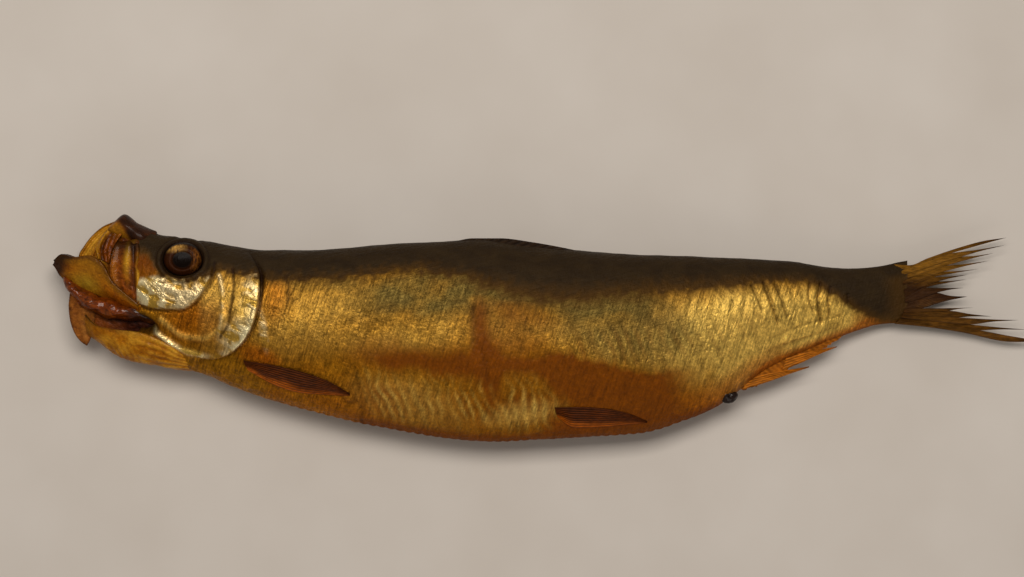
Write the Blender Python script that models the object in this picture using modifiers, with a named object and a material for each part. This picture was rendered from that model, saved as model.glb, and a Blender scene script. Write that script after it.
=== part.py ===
"""A whole smoked herring on its right side, with its jaws agape, its gill covers shut and its tail frayed.

Fish frame, in millimetres until scaled: X runs from the tip of the lower jaw towards the tail, Y towards the
back, and Z up from the surface that the fish lies on. The fish is one uncut piece, so its body, jaws, gill
covers and fins are one solid. The two eyeballs are separate solids in their sockets. At the end, the fish is
moved so that the origin is the bottom centre of its box.
"""

import math

import bmesh
import bpy
import numpy as np
from mathutils import Vector

MM = 0.001

# Driving dimensions of the body, in millimetres: (distance from the tip of the lower jaw, value).
BACK_LINE = [
    (22, 33.9), (24, 32.4), (26, 30.5), (29, 29.1), (33, 27.8), (38, 27.3), (44, 26.4), (50, 25.4),
    (57, 24.0), (66, 23.4), (86, 23.9), (104, 25.4), (116, 26.0), (129, 26.4), (143, 24.6), (164, 22.7),
    (200, 21.2), (221, 20.1), (239, 17.8), (246, 18.2), (257, 20.4),
]
BELLY_LINE = [
    (22, -9.6), (29, -10.3), (36, -11.6), (44, -13.4), (50, -15.9), (57, -18.8), (68, -22.2),
    (80, -25.2), (93, -28.5), (104, -30.6), (122, -33.6), (133, -34.1), (146, -33.3), (170, -31.8),
    (180, -30.7), (188, -28.2), (199, -23.9), (206, -19.0), (214, -13.0), (224, -8.0), (234, -3.6),
    (242, -0.8), (249, 1.0), (257, 1.4),
]
HALF_THICKNESS = [
    (22, 6.0), (30, 8.6), (38, 9.8), (50, 11.3), (60, 12.2), (90, 13.2), (130, 13.6), (165, 12.8),
    (190, 11.0), (210, 8.8), (230, 6.0), (245, 3.8), (257, 2.4),
]
MIDDLE_HEIGHT = [
    (0, 9.4), (24, 10.4), (45, 11.3), (75, 12.2), (165, 12.0), (190, 10.7), (210, 9.0), (230, 6.9),
    (257, 4.6), (300, 3.2),
]
BACK_ROUNDNESS = 0.50  # powers of the section's shape: a blunt back and a keeled belly
KEEL_SHARPNESS = 0.70
BODY_START, BODY_END = 24.0, 256.0
BODY_RINGS, BODY_SIDES = 48, 28

# Snout, seen from the side: upper and lower edge from its front to where it is sunk in the skull.
SNOUT_UPPER = [(17.6, 30.4), (21.4, 34.1), (24.0, 32.2), (29.0, 28.9)]
SNOUT_LOWER = [(16.6, 28.6), (19.0, 26.6), (23.0, 24.6), (30.0, 22.0)]
SNOUT_HALF_WIDTH = 5.0
SNOUT_TIP_SHARE = 0.55  # the tip's width as a share of that

# Lower jaw: a trough from its tip (0) to the joint under the eye, and the height of its sides.
JAW_RIM = [(0.4, 20.6), (3.2, 22.3), (8.0, 21.4), (13.0, 22.8), (18.0, 21.0), (27.0, 13.0)]
JAW_KEEL = [(0.2, 19.4), (2.6, 15.4), (6.6, 12.6), (13.0, 10.2), (20.0, 7.4), (27.0, 4.4)]
JAW_HALF_WIDTH = [(0, 1.0), (3, 2.6), (10, 5.0), (18, 6.8), (27, 8.0)]
JAW_WALL = 1.4

# Upper jawbones: the near one hangs from the snout to the corner of the mouth; the far one has swung forward.
NEAR_JAWBONE_FRONT = [(17.8, 29.4), (15.4, 24.0), (15.6, 17.0), (18.5, 11.0), (23.5, 7.2)]
NEAR_JAWBONE_BACK = [(25.5, 29.0), (26.6, 23.0), (27.6, 16.0), (28.0, 11.0), (28.0, 7.4)]
FAR_JAWBONE_FRONT = [(20.6, 33.6), (14.4, 31.2), (9.6, 27.4), (6.8, 22.4), (8.6, 15.0)]
FAR_JAWBONE_BACK = [(25.5, 29.5), (25.0, 24.0), (24.6, 19.0), (25.4, 14.0), (26.5, 9.0)]
JAWBONE_THICKNESS = 1.2
JAWBONE_FRONT_HEIGHT, JAWBONE_REAR_HEIGHT = 4.7, 6.2  # of each plate's edges over the head's middle plane

# Throat: the gill-ray membrane under the head, the tongue's root above it and the loose flap in front.
THROAT_RIM = [(9.6, 4.6), (13.0, 1.6), (18.0, 0.6), (29.0, -0.6), (41.0, -2.6)]
THROAT_KEEL = [(11.0, -2.0), (14.1, -4.2), (18.0, -7.4), (23.0, -9.6), (31.0, -10.7), (41.0, -11.8)]
THROAT_HALF_WIDTH = [(9, 2.6), (16, 5.0), (24, 6.8), (32, 7.0), (41, 5.6)]
THROAT_WALL = 1.4
TONGUE_PATH = [(32.0, 3.6, 2.4), (26.0, 3.8, 3.2), (18.0, 4.2, 3.8), (11.5, 6.8, 3.6), (6.6, 10.2, 2.4),
               (3.6, 13.4, 1.4)]
FLAP_FRONT = [(5.2, 9.6), (4.8, 5.0), (5.8, 0.4), (7.6, -3.2), (9.6, -5.2)]
FLAP_BACK = [(10.5, 9.0), (12.6, 5.0), (12.2, 1.4), (11.2, -2.0), (9.9, -5.2)]
FLAP_THICKNESS = 1.6
FLAP_ROOT_HEIGHT, FLAP_TIP_HEIGHT = 1.2, -0.8  # over the head's middle plane
THROAT_CAVITY_CENTRE, THROAT_CAVITY_RADII = (22.0, 12.0, 10.6), (9.5, 9.0, 5.2)
GAPE_NOTCH_FLOOR, GAPE_NOTCH_DEPTH = 8.0, 30.0
GAPE_NOTCH = [(16.0, 2.6), (20.0, 4.4), (25.0, 3.6), (31.0, -0.2), (26.0, -0.4), (20.0, 0.4)]

# Gill cover: front and rear edge from top to bottom. The rear edge stands proud of the body.
GILL_FRONT = [(50.0, 19.0), (47.0, 12.0), (42.0, 6.0), (35.0, 2.6), (27.2, 2.2)]
GILL_REAR = [(61.5, 18.4), (63.2, 12.0), (61.4, 0.0), (54.5, -8.2), (44.0, -8.2)]
GILL_LIFT = 1.1
GILL_THICKNESS = 2.2

# Fins: the two edges of each, from root to tip.
PECTORAL_UPPER = [(58.2, -9.8), (68.0, -11.2), (78.0, -13.6), (84.0, -15.4), (89.4, -19.4)]
PECTORAL_LOWER = [(59.6, -12.0), (66.0, -16.6), (73.0, -19.2), (82.0, -19.8), (89.4, -20.0)]
PELVIC_UPPER = [(150.0, -24.6), (158.0, -24.2), (168.0, -24.6), (174.0, -26.4), (178.6, -28.6)]
PELVIC_LOWER = [(151.0, -27.0), (158.0, -28.8), (165.0, -29.8), (172.0, -29.4), (178.6, -29.2)]
PAIRED_FIN_LIFT, PAIRED_FIN_THICKNESS = 0.9, 1.5
ANAL_FIN = [(203.0, -18.0), (206.5, -19.4), (213.0, -18.0), (219.0, -15.6), (224.0, -13.8), (229.4, -12.0),
            (219.6, -12.6), (224.0, -11.4), (229.0, -9.8), (232.6, -7.6), (237.9, -5.8), (231.4, -6.2),
            (236.0, -3.4), (240.0, 0.6), (222.0, -3.0), (208.0, -11.0)]
DORSAL_FIN = [
    (119.0, 25.2), (128.0, 27.0), (140.0, 26.6), (151.0, 24.8), (158.5, 24.0), (151.0, 22.2),
    (136.0, 22.6), (124.0, 23.4),
]
FIN_THICKNESS = 1.0

# Tail fin: its ray bundles from the top edge to the bottom edge, each as the tip and the notch after it.
TAIL_ROOT_UPPER = [(250.0, 16.0), (254.6, 20.2), (257.6, 18.2), (263.0, 20.8), (272.0, 24.0)]
TAIL_BUNDLES = [
    ((287.1, 27.2), (276.0, 24.2)), ((286.6, 25.2), (279.8, 23.4)), ((283.4, 22.7), (273.0, 20.4)),
    ((282.2, 20.4), (272.6, 18.2)), ((279.0, 18.2), (267.8, 16.8)), ((275.7, 16.3), (269.6, 15.6)),
    ((275.4, 14.6), (265.0, 13.5)), ((274.2, 12.1), (266.0, 11.9)), ((275.4, 9.3), (262.6, 6.0)),
    ((277.2, 6.8), (271.0, 5.3)), ((282.6, 4.6), (277.6, 2.7)), ((290.7, 2.0), (284.4, 0.2)),
    ((294.4, -0.7), (288.2, -2.0)),
]
TAIL_LAST_TIP = (295.5, -4.0)
TAIL_ROOT_LOWER = [(286.0, -4.2), (275.0, -1.8), (263.0, 0.0), (254.0, 1.2), (250.0, 5.0)]
RAY_BULGE = 0.03  # how far a bundle's sides bow out, as a share of its length from notch to tip

# Vent: the dark bead at the rear end of the belly.
VENT_PLACE, VENT_RADII = (202.4, -22.4), (2.3, 1.7, 1.8)

# Eyes.
EYE_PLACE = (39.0, 20.1)
EYE_RADII = (6.2, 5.2, 4.0)
EYE_SINK = 2.9  # how far the eyeball's centre lies under the cheek's surface
SOCKET_GAP = 0.3

FLOOR_CUTTER_SIZE = (500.0, 300.0, 40.0)
SMOOTH_ANGLE = math.radians(40)

SKIN = ((0.34, 0.19, 0.045), 0.35, 0.45)  # base colour, roughness, metallic
EYE = ((0.10, 0.045, 0.012), 0.12, 0.0)


def slope_curve(points):
    """A smooth curve through (position, value) points that never overshoots them (monotone cubic)."""
    xs, ys = np.array(points, float).T
    step = np.diff(xs)
    chord = np.diff(ys) / step
    slopes = np.concatenate([chord[:1], (chord[1:] + chord[:-1]) / 2, chord[-1:]])
    turning = chord[1:] * chord[:-1] <= 0
    slopes[1:-1][turning] = 0.0

    def value(x):
        x = float(np.clip(x, xs[0], xs[-1]))
        i = int(np.clip(np.searchsorted(xs, x) - 1, 0, len(step) - 1))
        t = (x - xs[i]) / step[i]
        return ((2 * t**3 - 3 * t**2 + 1) * ys[i] + (t**3 - 2 * t**2 + t) * step[i] * slopes[i]
                + (3 * t**2 - 2 * t**3) * ys[i + 1] + (t**3 - t**2) * step[i] * slopes[i + 1])

    return value


def path_curve(points):
    """A smooth curve in the plane or in space through the points, as a function of a share from 0 to 1."""
    points = np.array(points, float)
    lengths = np.linalg.norm(np.diff(points, axis=0), axis=1)
    shares = np.concatenate([[0.0], np.cumsum(lengths)]) / lengths.sum()
    axes = [slope_curve(list(zip(shares, points[:, k], strict=True))) for k in range(points.shape[1])]
    return lambda share: np.array([axis(share) for axis in axes])


back = slope_curve(BACK_LINE)
belly = slope_curve(BELLY_LINE)
half_thickness = slope_curve(HALF_THICKNESS)
middle = slope_curve(MIDDLE_HEIGHT)


def fullness(v):
    """The section's half thickness at v, from 0 at the back to 1 at the belly, as a share of its greatest."""
    widest = BACK_ROUNDNESS / (BACK_ROUNDNESS + KEEL_SHARPNESS)
    greatest = widest**BACK_ROUNDNESS * (1 - widest) ** KEEL_SHARPNESS
    v = min(max(v, 0.0), 1.0)
    return v**BACK_ROUNDNESS * (1 - v) ** KEEL_SHARPNESS / greatest


def flank(x, y, side=1):
    """Height of the skin over (x, y): side 1 is the upper flank, side -1 the one that the fish lies on."""
    v = (back(x) - y) / (back(x) - belly(x))
    return middle(x) + side * half_thickness(x) * fullness(v)


def add_object(name, mesh, collection):
    obj = bpy.data.objects.new(name, mesh)
    collection.objects.link(obj)
    return obj


def bent_grid(name, columns, rows, place, collection):
    """A grid primitive whose points are moved to place(s, t), with s and t from 0 to 1, in millimetres."""
    bm = bmesh.new()
    bmesh.ops.create_grid(bm, x_segments=columns, y_segments=rows, size=0.5)
    for vert in bm.verts:
        vert.co = Vector(place(vert.co.x + 0.5, vert.co.y + 0.5)) * MM
    bmesh.ops.remove_doubles(bm, verts=bm.verts, dist=0.01 * MM)
    bmesh.ops.dissolve_degenerate(bm, edges=bm.edges, dist=0.001 * MM)
    mesh = bpy.data.meshes.new(name)
    bm.to_mesh(mesh)
    bm.free()
    return add_object(name, mesh, collection)


def close_ends(obj):
    """Fills the open ends of a tube and turns its faces out."""
    bm = bmesh.new()
    bm.from_mesh(obj.data)
    bmesh.ops.holes_fill(bm, edges=[e for e in bm.edges if e.is_boundary])
    bmesh.ops.recalc_face_normals(bm, faces=bm.faces)
    bm.to_mesh(obj.data)
    bm.free()
    return obj


def thicken(obj, thickness, offset=0.0):
    """Makes a closed plate of an open sheet."""
    solidify = obj.modifiers.new("thickness", "SOLIDIFY")
    solidify.thickness = thickness * MM
    solidify.offset = offset
    solidify.use_even_offset = False
    return obj


def applied(obj):
    """Bakes the modifiers into the mesh and turns its faces out, so that it can join a Boolean."""
    graph = bpy.context.evaluated_depsgraph_get()
    mesh = bpy.data.meshes.new_from_object(obj.evaluated_get(graph))
    bm = bmesh.new()
    bm.from_mesh(mesh)
    bmesh.ops.remove_doubles(bm, verts=bm.verts, dist=0.005 * MM)
    bmesh.ops.recalc_face_normals(bm, faces=bm.faces)
    bm.to_mesh(mesh)
    bm.free()
    obj.modifiers.clear()
    obj.data = mesh
    return obj


def sheet(name, edge_a, edge_b, height, thickness, collection, columns=8, rows=4, offset=0.0):
    """A plate between two edges that run side by side. height(x, y, s, t) is its surface's Z."""
    first, second = path_curve(edge_a), path_curve(edge_b)

    def place(s, t):
        x, y = first(s) * (1 - t) + second(s) * t
        return x, y, height(x, y, s, t)

    return applied(thicken(bent_grid(name, columns, rows, place, collection), thickness, offset))


def flat_outline(name, outline, collection):
    """A flat fin of any outline: a filled 2D curve, bent along the fish's middle plane."""
    curve = bpy.data.curves.new(name, "CURVE")
    curve.dimensions = "2D"
    curve.fill_mode = "BOTH"
    curve.extrude = FIN_THICKNESS / 2 * MM
    spline = curve.splines.new("POLY")
    spline.points.add(len(outline) - 1)
    for point, (x, y) in zip(spline.points, outline, strict=True):
        point.co = (x * MM, y * MM, 0, 1)
    spline.use_cyclic_u = True
    obj = add_object(name, curve, collection)
    bpy.context.view_layer.update()
    mesh = bpy.data.meshes.new_from_object(obj.evaluated_get(bpy.context.evaluated_depsgraph_get()))
    bpy.data.objects.remove(obj)
    for vert in mesh.vertices:
        vert.co.z += middle(vert.co.x / MM) * MM
    return applied(add_object(name, mesh, collection))


def make_body(collection):
    """The body and skull, lofted from the section at each station; the belly is keeled and the back round."""

    def place(s, t):
        x = BODY_START + (BODY_END - BODY_START) * s
        turn = 2 * math.pi * t
        v = (1 - math.cos(turn)) / 2
        y = back(x) + (belly(x) - back(x)) * v
        side = 1 if turn <= math.pi else -1
        return x, y, middle(x) + side * half_thickness(x) * fullness(v)

    return close_ends(bent_grid("smoked_fish", BODY_RINGS, BODY_SIDES, place, collection))


def make_trough(name, rim, keel, half_width, wall, collection):
    """A trough, open upwards: its keel runs along the bottom edge, and its two sides end at the rim."""
    rim_line, keel_line = path_curve(rim), path_curve(keel)
    width = slope_curve(half_width)

    def place(s, t):
        top, bottom = rim_line(s), keel_line(s)
        turn = math.pi * (t - 0.5)
        x, y = bottom + (top - bottom) * (1 - math.cos(turn))
        return x, y, middle(x) + width(x) * math.sin(turn)

    return applied(thicken(bent_grid(name, 10, 10, place, collection), wall))


def make_snout(collection):
    """The front of the skull: a wedge that ends in the raised tip of the upper jaw."""
    upper, lower = path_curve(SNOUT_UPPER), path_curve(SNOUT_LOWER)

    def place(s, t):
        turn = 2 * math.pi * t
        top, bottom = upper(s), lower(s)
        x, y = (top + bottom) / 2 + (top - bottom) / 2 * math.cos(turn)
        width = SNOUT_HALF_WIDTH * (SNOUT_TIP_SHARE + (1 - SNOUT_TIP_SHARE) * s)
        return x, y, middle(x) + width * math.sin(turn)

    return applied(close_ends(bent_grid("snout", 8, 16, place, collection)))


def make_tongue(collection):
    """The root of the tongue and the gill arches' stump: a tapering rod between the jaw and the throat."""
    curve = bpy.data.curves.new("tongue", "CURVE")
    curve.dimensions = "3D"
    curve.bevel_depth = 1.0 * MM
    curve.bevel_resolution = 3
    curve.use_fill_caps = True
    route = path_curve(TONGUE_PATH)
    spline = curve.splines.new("POLY")
    samples = 12
    spline.points.add(samples - 1)
    for i, point in enumerate(spline.points):
        x, y, radius = route(i / (samples - 1))
        point.co = (x * MM, y * MM, middle(x) * MM, 1)
        point.radius = radius
    obj = add_object("tongue_rod", curve, collection)
    bpy.context.view_layer.update()
    mesh = bpy.data.meshes.new_from_object(obj.evaluated_get(bpy.context.evaluated_depsgraph_get()))
    bpy.data.objects.remove(obj)
    return applied(add_object("tongue", mesh, collection))


def make_gill_cover(name, side, collection):
    """The bony plate over the gills, laid on the flank; it rises towards its free rear edge."""

    def height(x, y, s, t):
        free = t**2 * math.sin(math.pi * min(s + 0.12, 1.0)) ** 0.5
        return flank(x, y, side) + side * (GILL_LIFT * free - GILL_THICKNESS / 2)

    return sheet(name, GILL_FRONT, GILL_REAR, height, GILL_THICKNESS, collection, columns=12, rows=6)


def make_paired_fin(name, upper, lower, side, collection):
    """A folded fin that lies against the flank."""

    def height(x, y, s, t):
        return flank(x, y, side) + side * (PAIRED_FIN_LIFT - PAIRED_FIN_THICKNESS / 2)

    return sheet(name, upper, lower, height, PAIRED_FIN_THICKNESS, collection)


def make_jawbone(name, front, rear, side, collection):
    """One of the two upper jawbones: a curved plate on its own side of the mouth."""

    def height(x, y, s, t):
        return middle(x) + side * (JAWBONE_FRONT_HEIGHT * (1 - t) + JAWBONE_REAR_HEIGHT * t)

    return sheet(name, front, rear, height, JAWBONE_THICKNESS, collection)


def make_flap(collection):
    """The loose flap of membrane that hangs in front of the throat."""

    def height(x, y, s, t):
        return middle(x) + FLAP_ROOT_HEIGHT * (1 - s) + FLAP_TIP_HEIGHT * s

    return sheet("flap", FLAP_FRONT, FLAP_BACK, height, FLAP_THICKNESS, collection)


def tail_outline():
    """The tail fin's outline: each ray bundle is a blade that runs from notch to tip to the next notch."""
    outline = list(TAIL_ROOT_UPPER)
    notch = np.array(outline[-1])
    for tip, next_notch in [*TAIL_BUNDLES, (TAIL_LAST_TIP, TAIL_ROOT_LOWER[0])]:
        tip, after = np.array(tip), np.array(next_notch)
        for start, end in ((notch, tip), (tip, after)):
            along = end - start
            outward = np.array([-along[1], along[0]]) * RAY_BULGE
            for share in (0.3, 0.65):
                bow = 4 * share * (1 - share)
                outline.append(tuple(start + along * share + outward * bow))
            outline.append(tuple(end))
        notch = after
    return outline + TAIL_ROOT_LOWER[1:]


def ellipsoid(name, place, radii, collection, segments=20, rings=10):
    bm = bmesh.new()
    bmesh.ops.create_uvsphere(bm, u_segments=segments, v_segments=rings, radius=1.0)
    for vert in bm.verts:
        vert.co = Vector([c * r * MM for c, r in zip(vert.co, radii, strict=True)])
    mesh = bpy.data.meshes.new(name)
    bm.to_mesh(mesh)
    bm.free()
    obj = add_object(name, mesh, collection)
    obj.location = Vector(place) * MM
    return obj


def eye_centre(side):
    x, y = EYE_PLACE
    return x, y, flank(x, y, side) - side * EYE_SINK


def make_notch_cutter(collection):
    """The gap between the mouth's corner and the throat's membrane, open on the head's upper side."""
    outline = [Vector((x, y, GAPE_NOTCH_FLOOR)) * MM for x, y in GAPE_NOTCH]
    bm = bmesh.new()
    face = bm.faces.new([bm.verts.new(p) for p in outline])
    raised = bmesh.ops.extrude_face_region(bm, geom=[face])["geom"]
    top = [g for g in raised if isinstance(g, bmesh.types.BMVert)]
    bmesh.ops.translate(bm, verts=top, vec=(0, 0, GAPE_NOTCH_DEPTH * MM))
    bmesh.ops.recalc_face_normals(bm, faces=bm.faces)
    mesh = bpy.data.meshes.new("gape_notch")
    bm.to_mesh(mesh)
    bm.free()
    return add_object("gape_notch", mesh, collection)


def make_floor_cutter(collection):
    """What lies under the resting plane: it leaves the flat patch that the fish rests on."""
    bpy.ops.mesh.primitive_cube_add(size=1.0)
    cube = bpy.context.object
    cube.name = "resting_plane"
    cube.dimensions = Vector(FLOOR_CUTTER_SIZE) * MM
    cube.location = Vector((BODY_START + BODY_END, 0, -FLOOR_CUTTER_SIZE[2])) / 2 * MM
    for owner in cube.users_collection:
        owner.objects.unlink(cube)
    collection.objects.link(cube)
    return cube


def add_boolean(obj, operation, other):
    boolean = obj.modifiers.new(f"{operation.lower()} {other.name}", "BOOLEAN")
    boolean.operation = operation
    boolean.solver = "EXACT"
    boolean.object = other


def shade_round(mesh):
    """Smooth shading, with the bones' and fins' edges kept sharp."""
    mesh.shade_smooth()
    mesh.set_sharp_from_angle(angle=SMOOTH_ANGLE)


def material(name, colour, roughness, metallic):
    made = bpy.data.materials.new(name)
    made.use_nodes = True
    shader = made.node_tree.nodes["Principled BSDF"]
    shader.inputs["Base Color"].default_value = (*colour, 1)
    shader.inputs["Roughness"].default_value = roughness
    shader.inputs["Metallic"].default_value = metallic
    return made


def stand_on_origin(objects):
    """Moves everything together so that the origin is the bottom centre of the box."""
    bpy.context.view_layer.update()
    graph = bpy.context.evaluated_depsgraph_get()
    corners = []
    for obj in objects:
        if obj.hide_render:
            continue
        mesh = obj.evaluated_get(graph).to_mesh()
        corners += [obj.matrix_world @ v.co for v in mesh.vertices]
    low = Vector([min(c[k] for c in corners) for k in range(3)])
    high = Vector([max(c[k] for c in corners) for k in range(3)])
    shift = Vector(((low.x + high.x) / 2, (low.y + high.y) / 2, low.z))
    for obj in objects:
        obj.location -= shift


def main():
    for obj in list(bpy.data.objects):
        bpy.data.objects.remove(obj)
    fish_parts = bpy.data.collections.new("smoked_herring")
    helpers = bpy.data.collections.new("helpers")
    bpy.context.scene.collection.children.link(fish_parts)
    bpy.context.scene.collection.children.link(helpers)

    body = make_body(fish_parts)
    grown_on = [
        make_snout(helpers),
        make_trough("lower_jaw", JAW_RIM, JAW_KEEL, JAW_HALF_WIDTH, JAW_WALL, helpers),
        make_trough("throat", THROAT_RIM, THROAT_KEEL, THROAT_HALF_WIDTH, THROAT_WALL, helpers),
        make_jawbone("jawbone_near", NEAR_JAWBONE_FRONT, NEAR_JAWBONE_BACK, 1, helpers),
        make_jawbone("jawbone_far", FAR_JAWBONE_FRONT, FAR_JAWBONE_BACK, -1, helpers),
        make_tongue(helpers),
        make_flap(helpers),
        ellipsoid("vent", (*VENT_PLACE, middle(VENT_PLACE[0])), VENT_RADII, helpers, 12, 8),
        flat_outline("anal_fin", ANAL_FIN, helpers),
        flat_outline("dorsal_fin", DORSAL_FIN, helpers),
        flat_outline("tail_fin", tail_outline(), helpers),
    ]
    for side, word in ((1, "near"), (-1, "far")):
        grown_on.append(make_gill_cover(f"gill_cover_{word}", side, helpers))
        grown_on.append(make_paired_fin(f"pectoral_{word}", PECTORAL_UPPER, PECTORAL_LOWER, side, helpers))
        grown_on.append(make_paired_fin(f"pelvic_{word}", PELVIC_UPPER, PELVIC_LOWER, side, helpers))
    socket_radii = [r + SOCKET_GAP for r in EYE_RADII]
    cut_before = [
        ellipsoid("throat_cavity", THROAT_CAVITY_CENTRE, THROAT_CAVITY_RADII, helpers),
        make_notch_cutter(helpers),
    ]
    cut_after = [
        ellipsoid("socket_left", eye_centre(1), socket_radii, helpers),
        ellipsoid("socket_right", eye_centre(-1), socket_radii, helpers),
        make_floor_cutter(helpers),
    ]
    for cutter in cut_before:
        add_boolean(body, "DIFFERENCE", cutter)
    for part in grown_on:
        add_boolean(body, "UNION", part)
    for cutter in cut_after:
        add_boolean(body, "DIFFERENCE", cutter)
    for helper in helpers.objects:
        helper.hide_render = True
        helper.display_type = "WIRE"

    eyes = [
        ellipsoid("eye_left", eye_centre(1), EYE_RADII, fish_parts),
        ellipsoid("eye_right", eye_centre(-1), EYE_RADII, fish_parts),
    ]
    body.data.materials.append(material("smoked_skin", *SKIN))
    eye_material = material("smoked_eye", *EYE)
    for eye in eyes:
        eye.data.materials.append(eye_material)
    for obj in [*fish_parts.objects, *helpers.objects]:
        shade_round(obj.data)
    stand_on_origin([*fish_parts.objects, *helpers.objects])


main()
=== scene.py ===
"""The looks of a whole smoked herring that lies on its right side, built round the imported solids.

Shapes are worked out in the fish's own frame, in millimetres, as the solids are: X runs from the tip of the
lower jaw towards the tail, Y towards the back, and Z up from the surface that the fish lies on. place() takes
them to the row's frame, from the box of the solids.
"""

import math

import bpy
import numpy as np
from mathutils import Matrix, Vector


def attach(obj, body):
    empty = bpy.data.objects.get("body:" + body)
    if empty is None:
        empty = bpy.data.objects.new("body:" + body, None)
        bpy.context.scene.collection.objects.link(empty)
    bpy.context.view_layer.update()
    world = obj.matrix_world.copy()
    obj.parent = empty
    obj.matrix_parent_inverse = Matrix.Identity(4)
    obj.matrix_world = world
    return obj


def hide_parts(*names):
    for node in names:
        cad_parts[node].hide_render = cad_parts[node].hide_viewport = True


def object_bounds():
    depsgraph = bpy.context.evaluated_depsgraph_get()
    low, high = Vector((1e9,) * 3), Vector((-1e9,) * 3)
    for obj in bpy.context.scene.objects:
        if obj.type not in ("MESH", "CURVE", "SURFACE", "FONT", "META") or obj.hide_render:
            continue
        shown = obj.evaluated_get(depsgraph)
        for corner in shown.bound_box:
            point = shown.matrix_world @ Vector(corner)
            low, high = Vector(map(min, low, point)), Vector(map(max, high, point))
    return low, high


MM = 0.001
FISH_LENGTH = 295.5

# ---------------------------------------------------------------- the body's lines, close to the solids
BACK_LINE = [(22, 33.9), (24, 32.4), (26, 30.5), (29, 29.1), (33, 27.8), (38, 27.3), (44, 26.4), (50, 25.4),
             (57, 24.0), (66, 23.4), (86, 23.9), (104, 25.4), (116, 26.0), (129, 26.4), (143, 24.6),
             (164, 22.7), (200, 21.2), (221, 20.1), (239, 17.8), (246, 18.2), (257, 20.4)]
BELLY_LINE = [(22, -9.6), (29, -10.3), (36, -11.6), (44, -13.4), (50, -15.9), (57, -18.8), (68, -22.2),
              (80, -25.2), (93, -28.5), (104, -30.6), (122, -33.6), (133, -34.1), (146, -33.3),
              (170, -31.8), (180, -30.7), (188, -28.2), (199, -23.9), (206, -19.0), (214, -13.0),
              (224, -8.0), (234, -3.6), (242, -0.8), (249, 1.0), (257, 1.4)]
# The tail's root is thinner than in the solid, so that the rays seem to grow out of it.
HALF_THICKNESS = [(22, 6.0), (30, 8.6), (38, 9.8), (50, 11.3), (60, 12.2), (90, 13.2), (130, 13.6),
                  (165, 12.8), (190, 11.0), (210, 8.8), (230, 6.0), (243, 3.9), (251, 2.4), (257, 0.7)]
MIDDLE_HEIGHT = [(0, 9.4), (24, 10.4), (45, 11.3), (75, 12.2), (165, 12.0), (190, 10.7), (210, 9.0),
                 (230, 6.9), (257, 4.6), (300, 3.2)]
BACK_ROUNDNESS = 0.50
KEEL_SHARPNESS = 0.70
BODY_START, BODY_END = 25.5, 257.0
# Where each stretch of the body's grid starts and ends, and how many stations it has.
BODY_STRETCHES = [(BODY_START, 67.0, 150), (67.0, 106.0, 75), (106.0, 205.0, 148), (205.0, 243.0, 110),
                  (243.0, BODY_END, 26)]
BODY_TURNS = 196
MUSCLE_PITCH = 3.6
SCALE_PITCH = 3.1
KEEL_TOOTH_PITCH = 2.7

EYE_PLACE = (39.4, 20.4)
EYE_RADII = (6.2, 5.2, 4.0)
EYE_SINK = 2.9


# ---------------------------------------------------------------- curves and noise
def line_through(points):
    """A smooth line y(x) through the points that never overshoots them (monotone cubic), for arrays of x."""
    xs, ys = np.array(points, float).T
    step = np.diff(xs)
    chord = np.diff(ys) / step
    slopes = np.concatenate([chord[:1], (chord[1:] + chord[:-1]) / 2, chord[-1:]])
    turning = chord[1:] * chord[:-1] <= 0
    slopes[1:-1][turning] = 0.0

    def value(x):
        x = np.clip(np.asarray(x, float), xs[0], xs[-1])
        i = np.clip(np.searchsorted(xs, x, side="right") - 1, 0, len(step) - 1)
        t = (x - xs[i]) / step[i]
        return ((2 * t**3 - 3 * t**2 + 1) * ys[i] + (t**3 - 2 * t**2 + t) * step[i] * slopes[i]
                + (3 * t**2 - 2 * t**3) * ys[i + 1] + (t**3 - t**2) * step[i] * slopes[i + 1])

    return value


def path_through(points):
    """A smooth path through the points, as a function of the share of its length, from 0 to 1."""
    points = np.array(points, float)
    lengths = np.linalg.norm(np.diff(points, axis=0), axis=1)
    shares = np.concatenate([[0.0], np.cumsum(lengths)]) / lengths.sum()
    axes = [line_through(list(zip(shares, points[:, k]))) for k in range(points.shape[1])]
    return lambda share: np.stack([axis(share) for axis in axes], axis=-1)


back = line_through(BACK_LINE)
belly = line_through(BELLY_LINE)
half_thickness = line_through(HALF_THICKNESS)
middle = line_through(MIDDLE_HEIGHT)


def fullness(v):
    """Half thickness of the section as a share of its greatest, at v from 0, the back, to 1, the keel."""
    widest = BACK_ROUNDNESS / (BACK_ROUNDNESS + KEEL_SHARPNESS)
    greatest = widest**BACK_ROUNDNESS * (1 - widest) ** KEEL_SHARPNESS
    v = np.clip(v, 0.0, 1.0)
    return v**BACK_ROUNDNESS * (1 - v) ** KEEL_SHARPNESS / greatest


def flank(x, y, side=1):
    """Height of the skin over (x, y) before any relief: side 1 is the upper flank, -1 the one underneath."""
    v = (back(x) - y) / (back(x) - belly(x))
    return middle(x) + side * half_thickness(x) * fullness(v)


def smoothstep(low, high, x):
    t = np.clip((x - low) / (high - low), 0.0, 1.0)
    return t * t * (3 - 2 * t)


def bump(x, centre, width):
    """A bell of height 1 round centre, which has fallen to about a third at width."""
    return np.exp(-(((x - centre) / width) ** 2))


def ellipse(x, y, centre, radii, lean=0.0, softness=0.35):
    """A soft spot: 1 inside, 0 outside. lean turns its long axis, in degrees, towards the back."""
    turn = math.radians(lean)
    dx, dy = x - centre[0], y - centre[1]
    along = (dx * math.cos(turn) + dy * math.sin(turn)) / radii[0]
    across = (-dx * math.sin(turn) + dy * math.cos(turn)) / radii[1]
    return 1 - smoothstep(1 - softness, 1 + softness, np.hypot(along, across))


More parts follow.
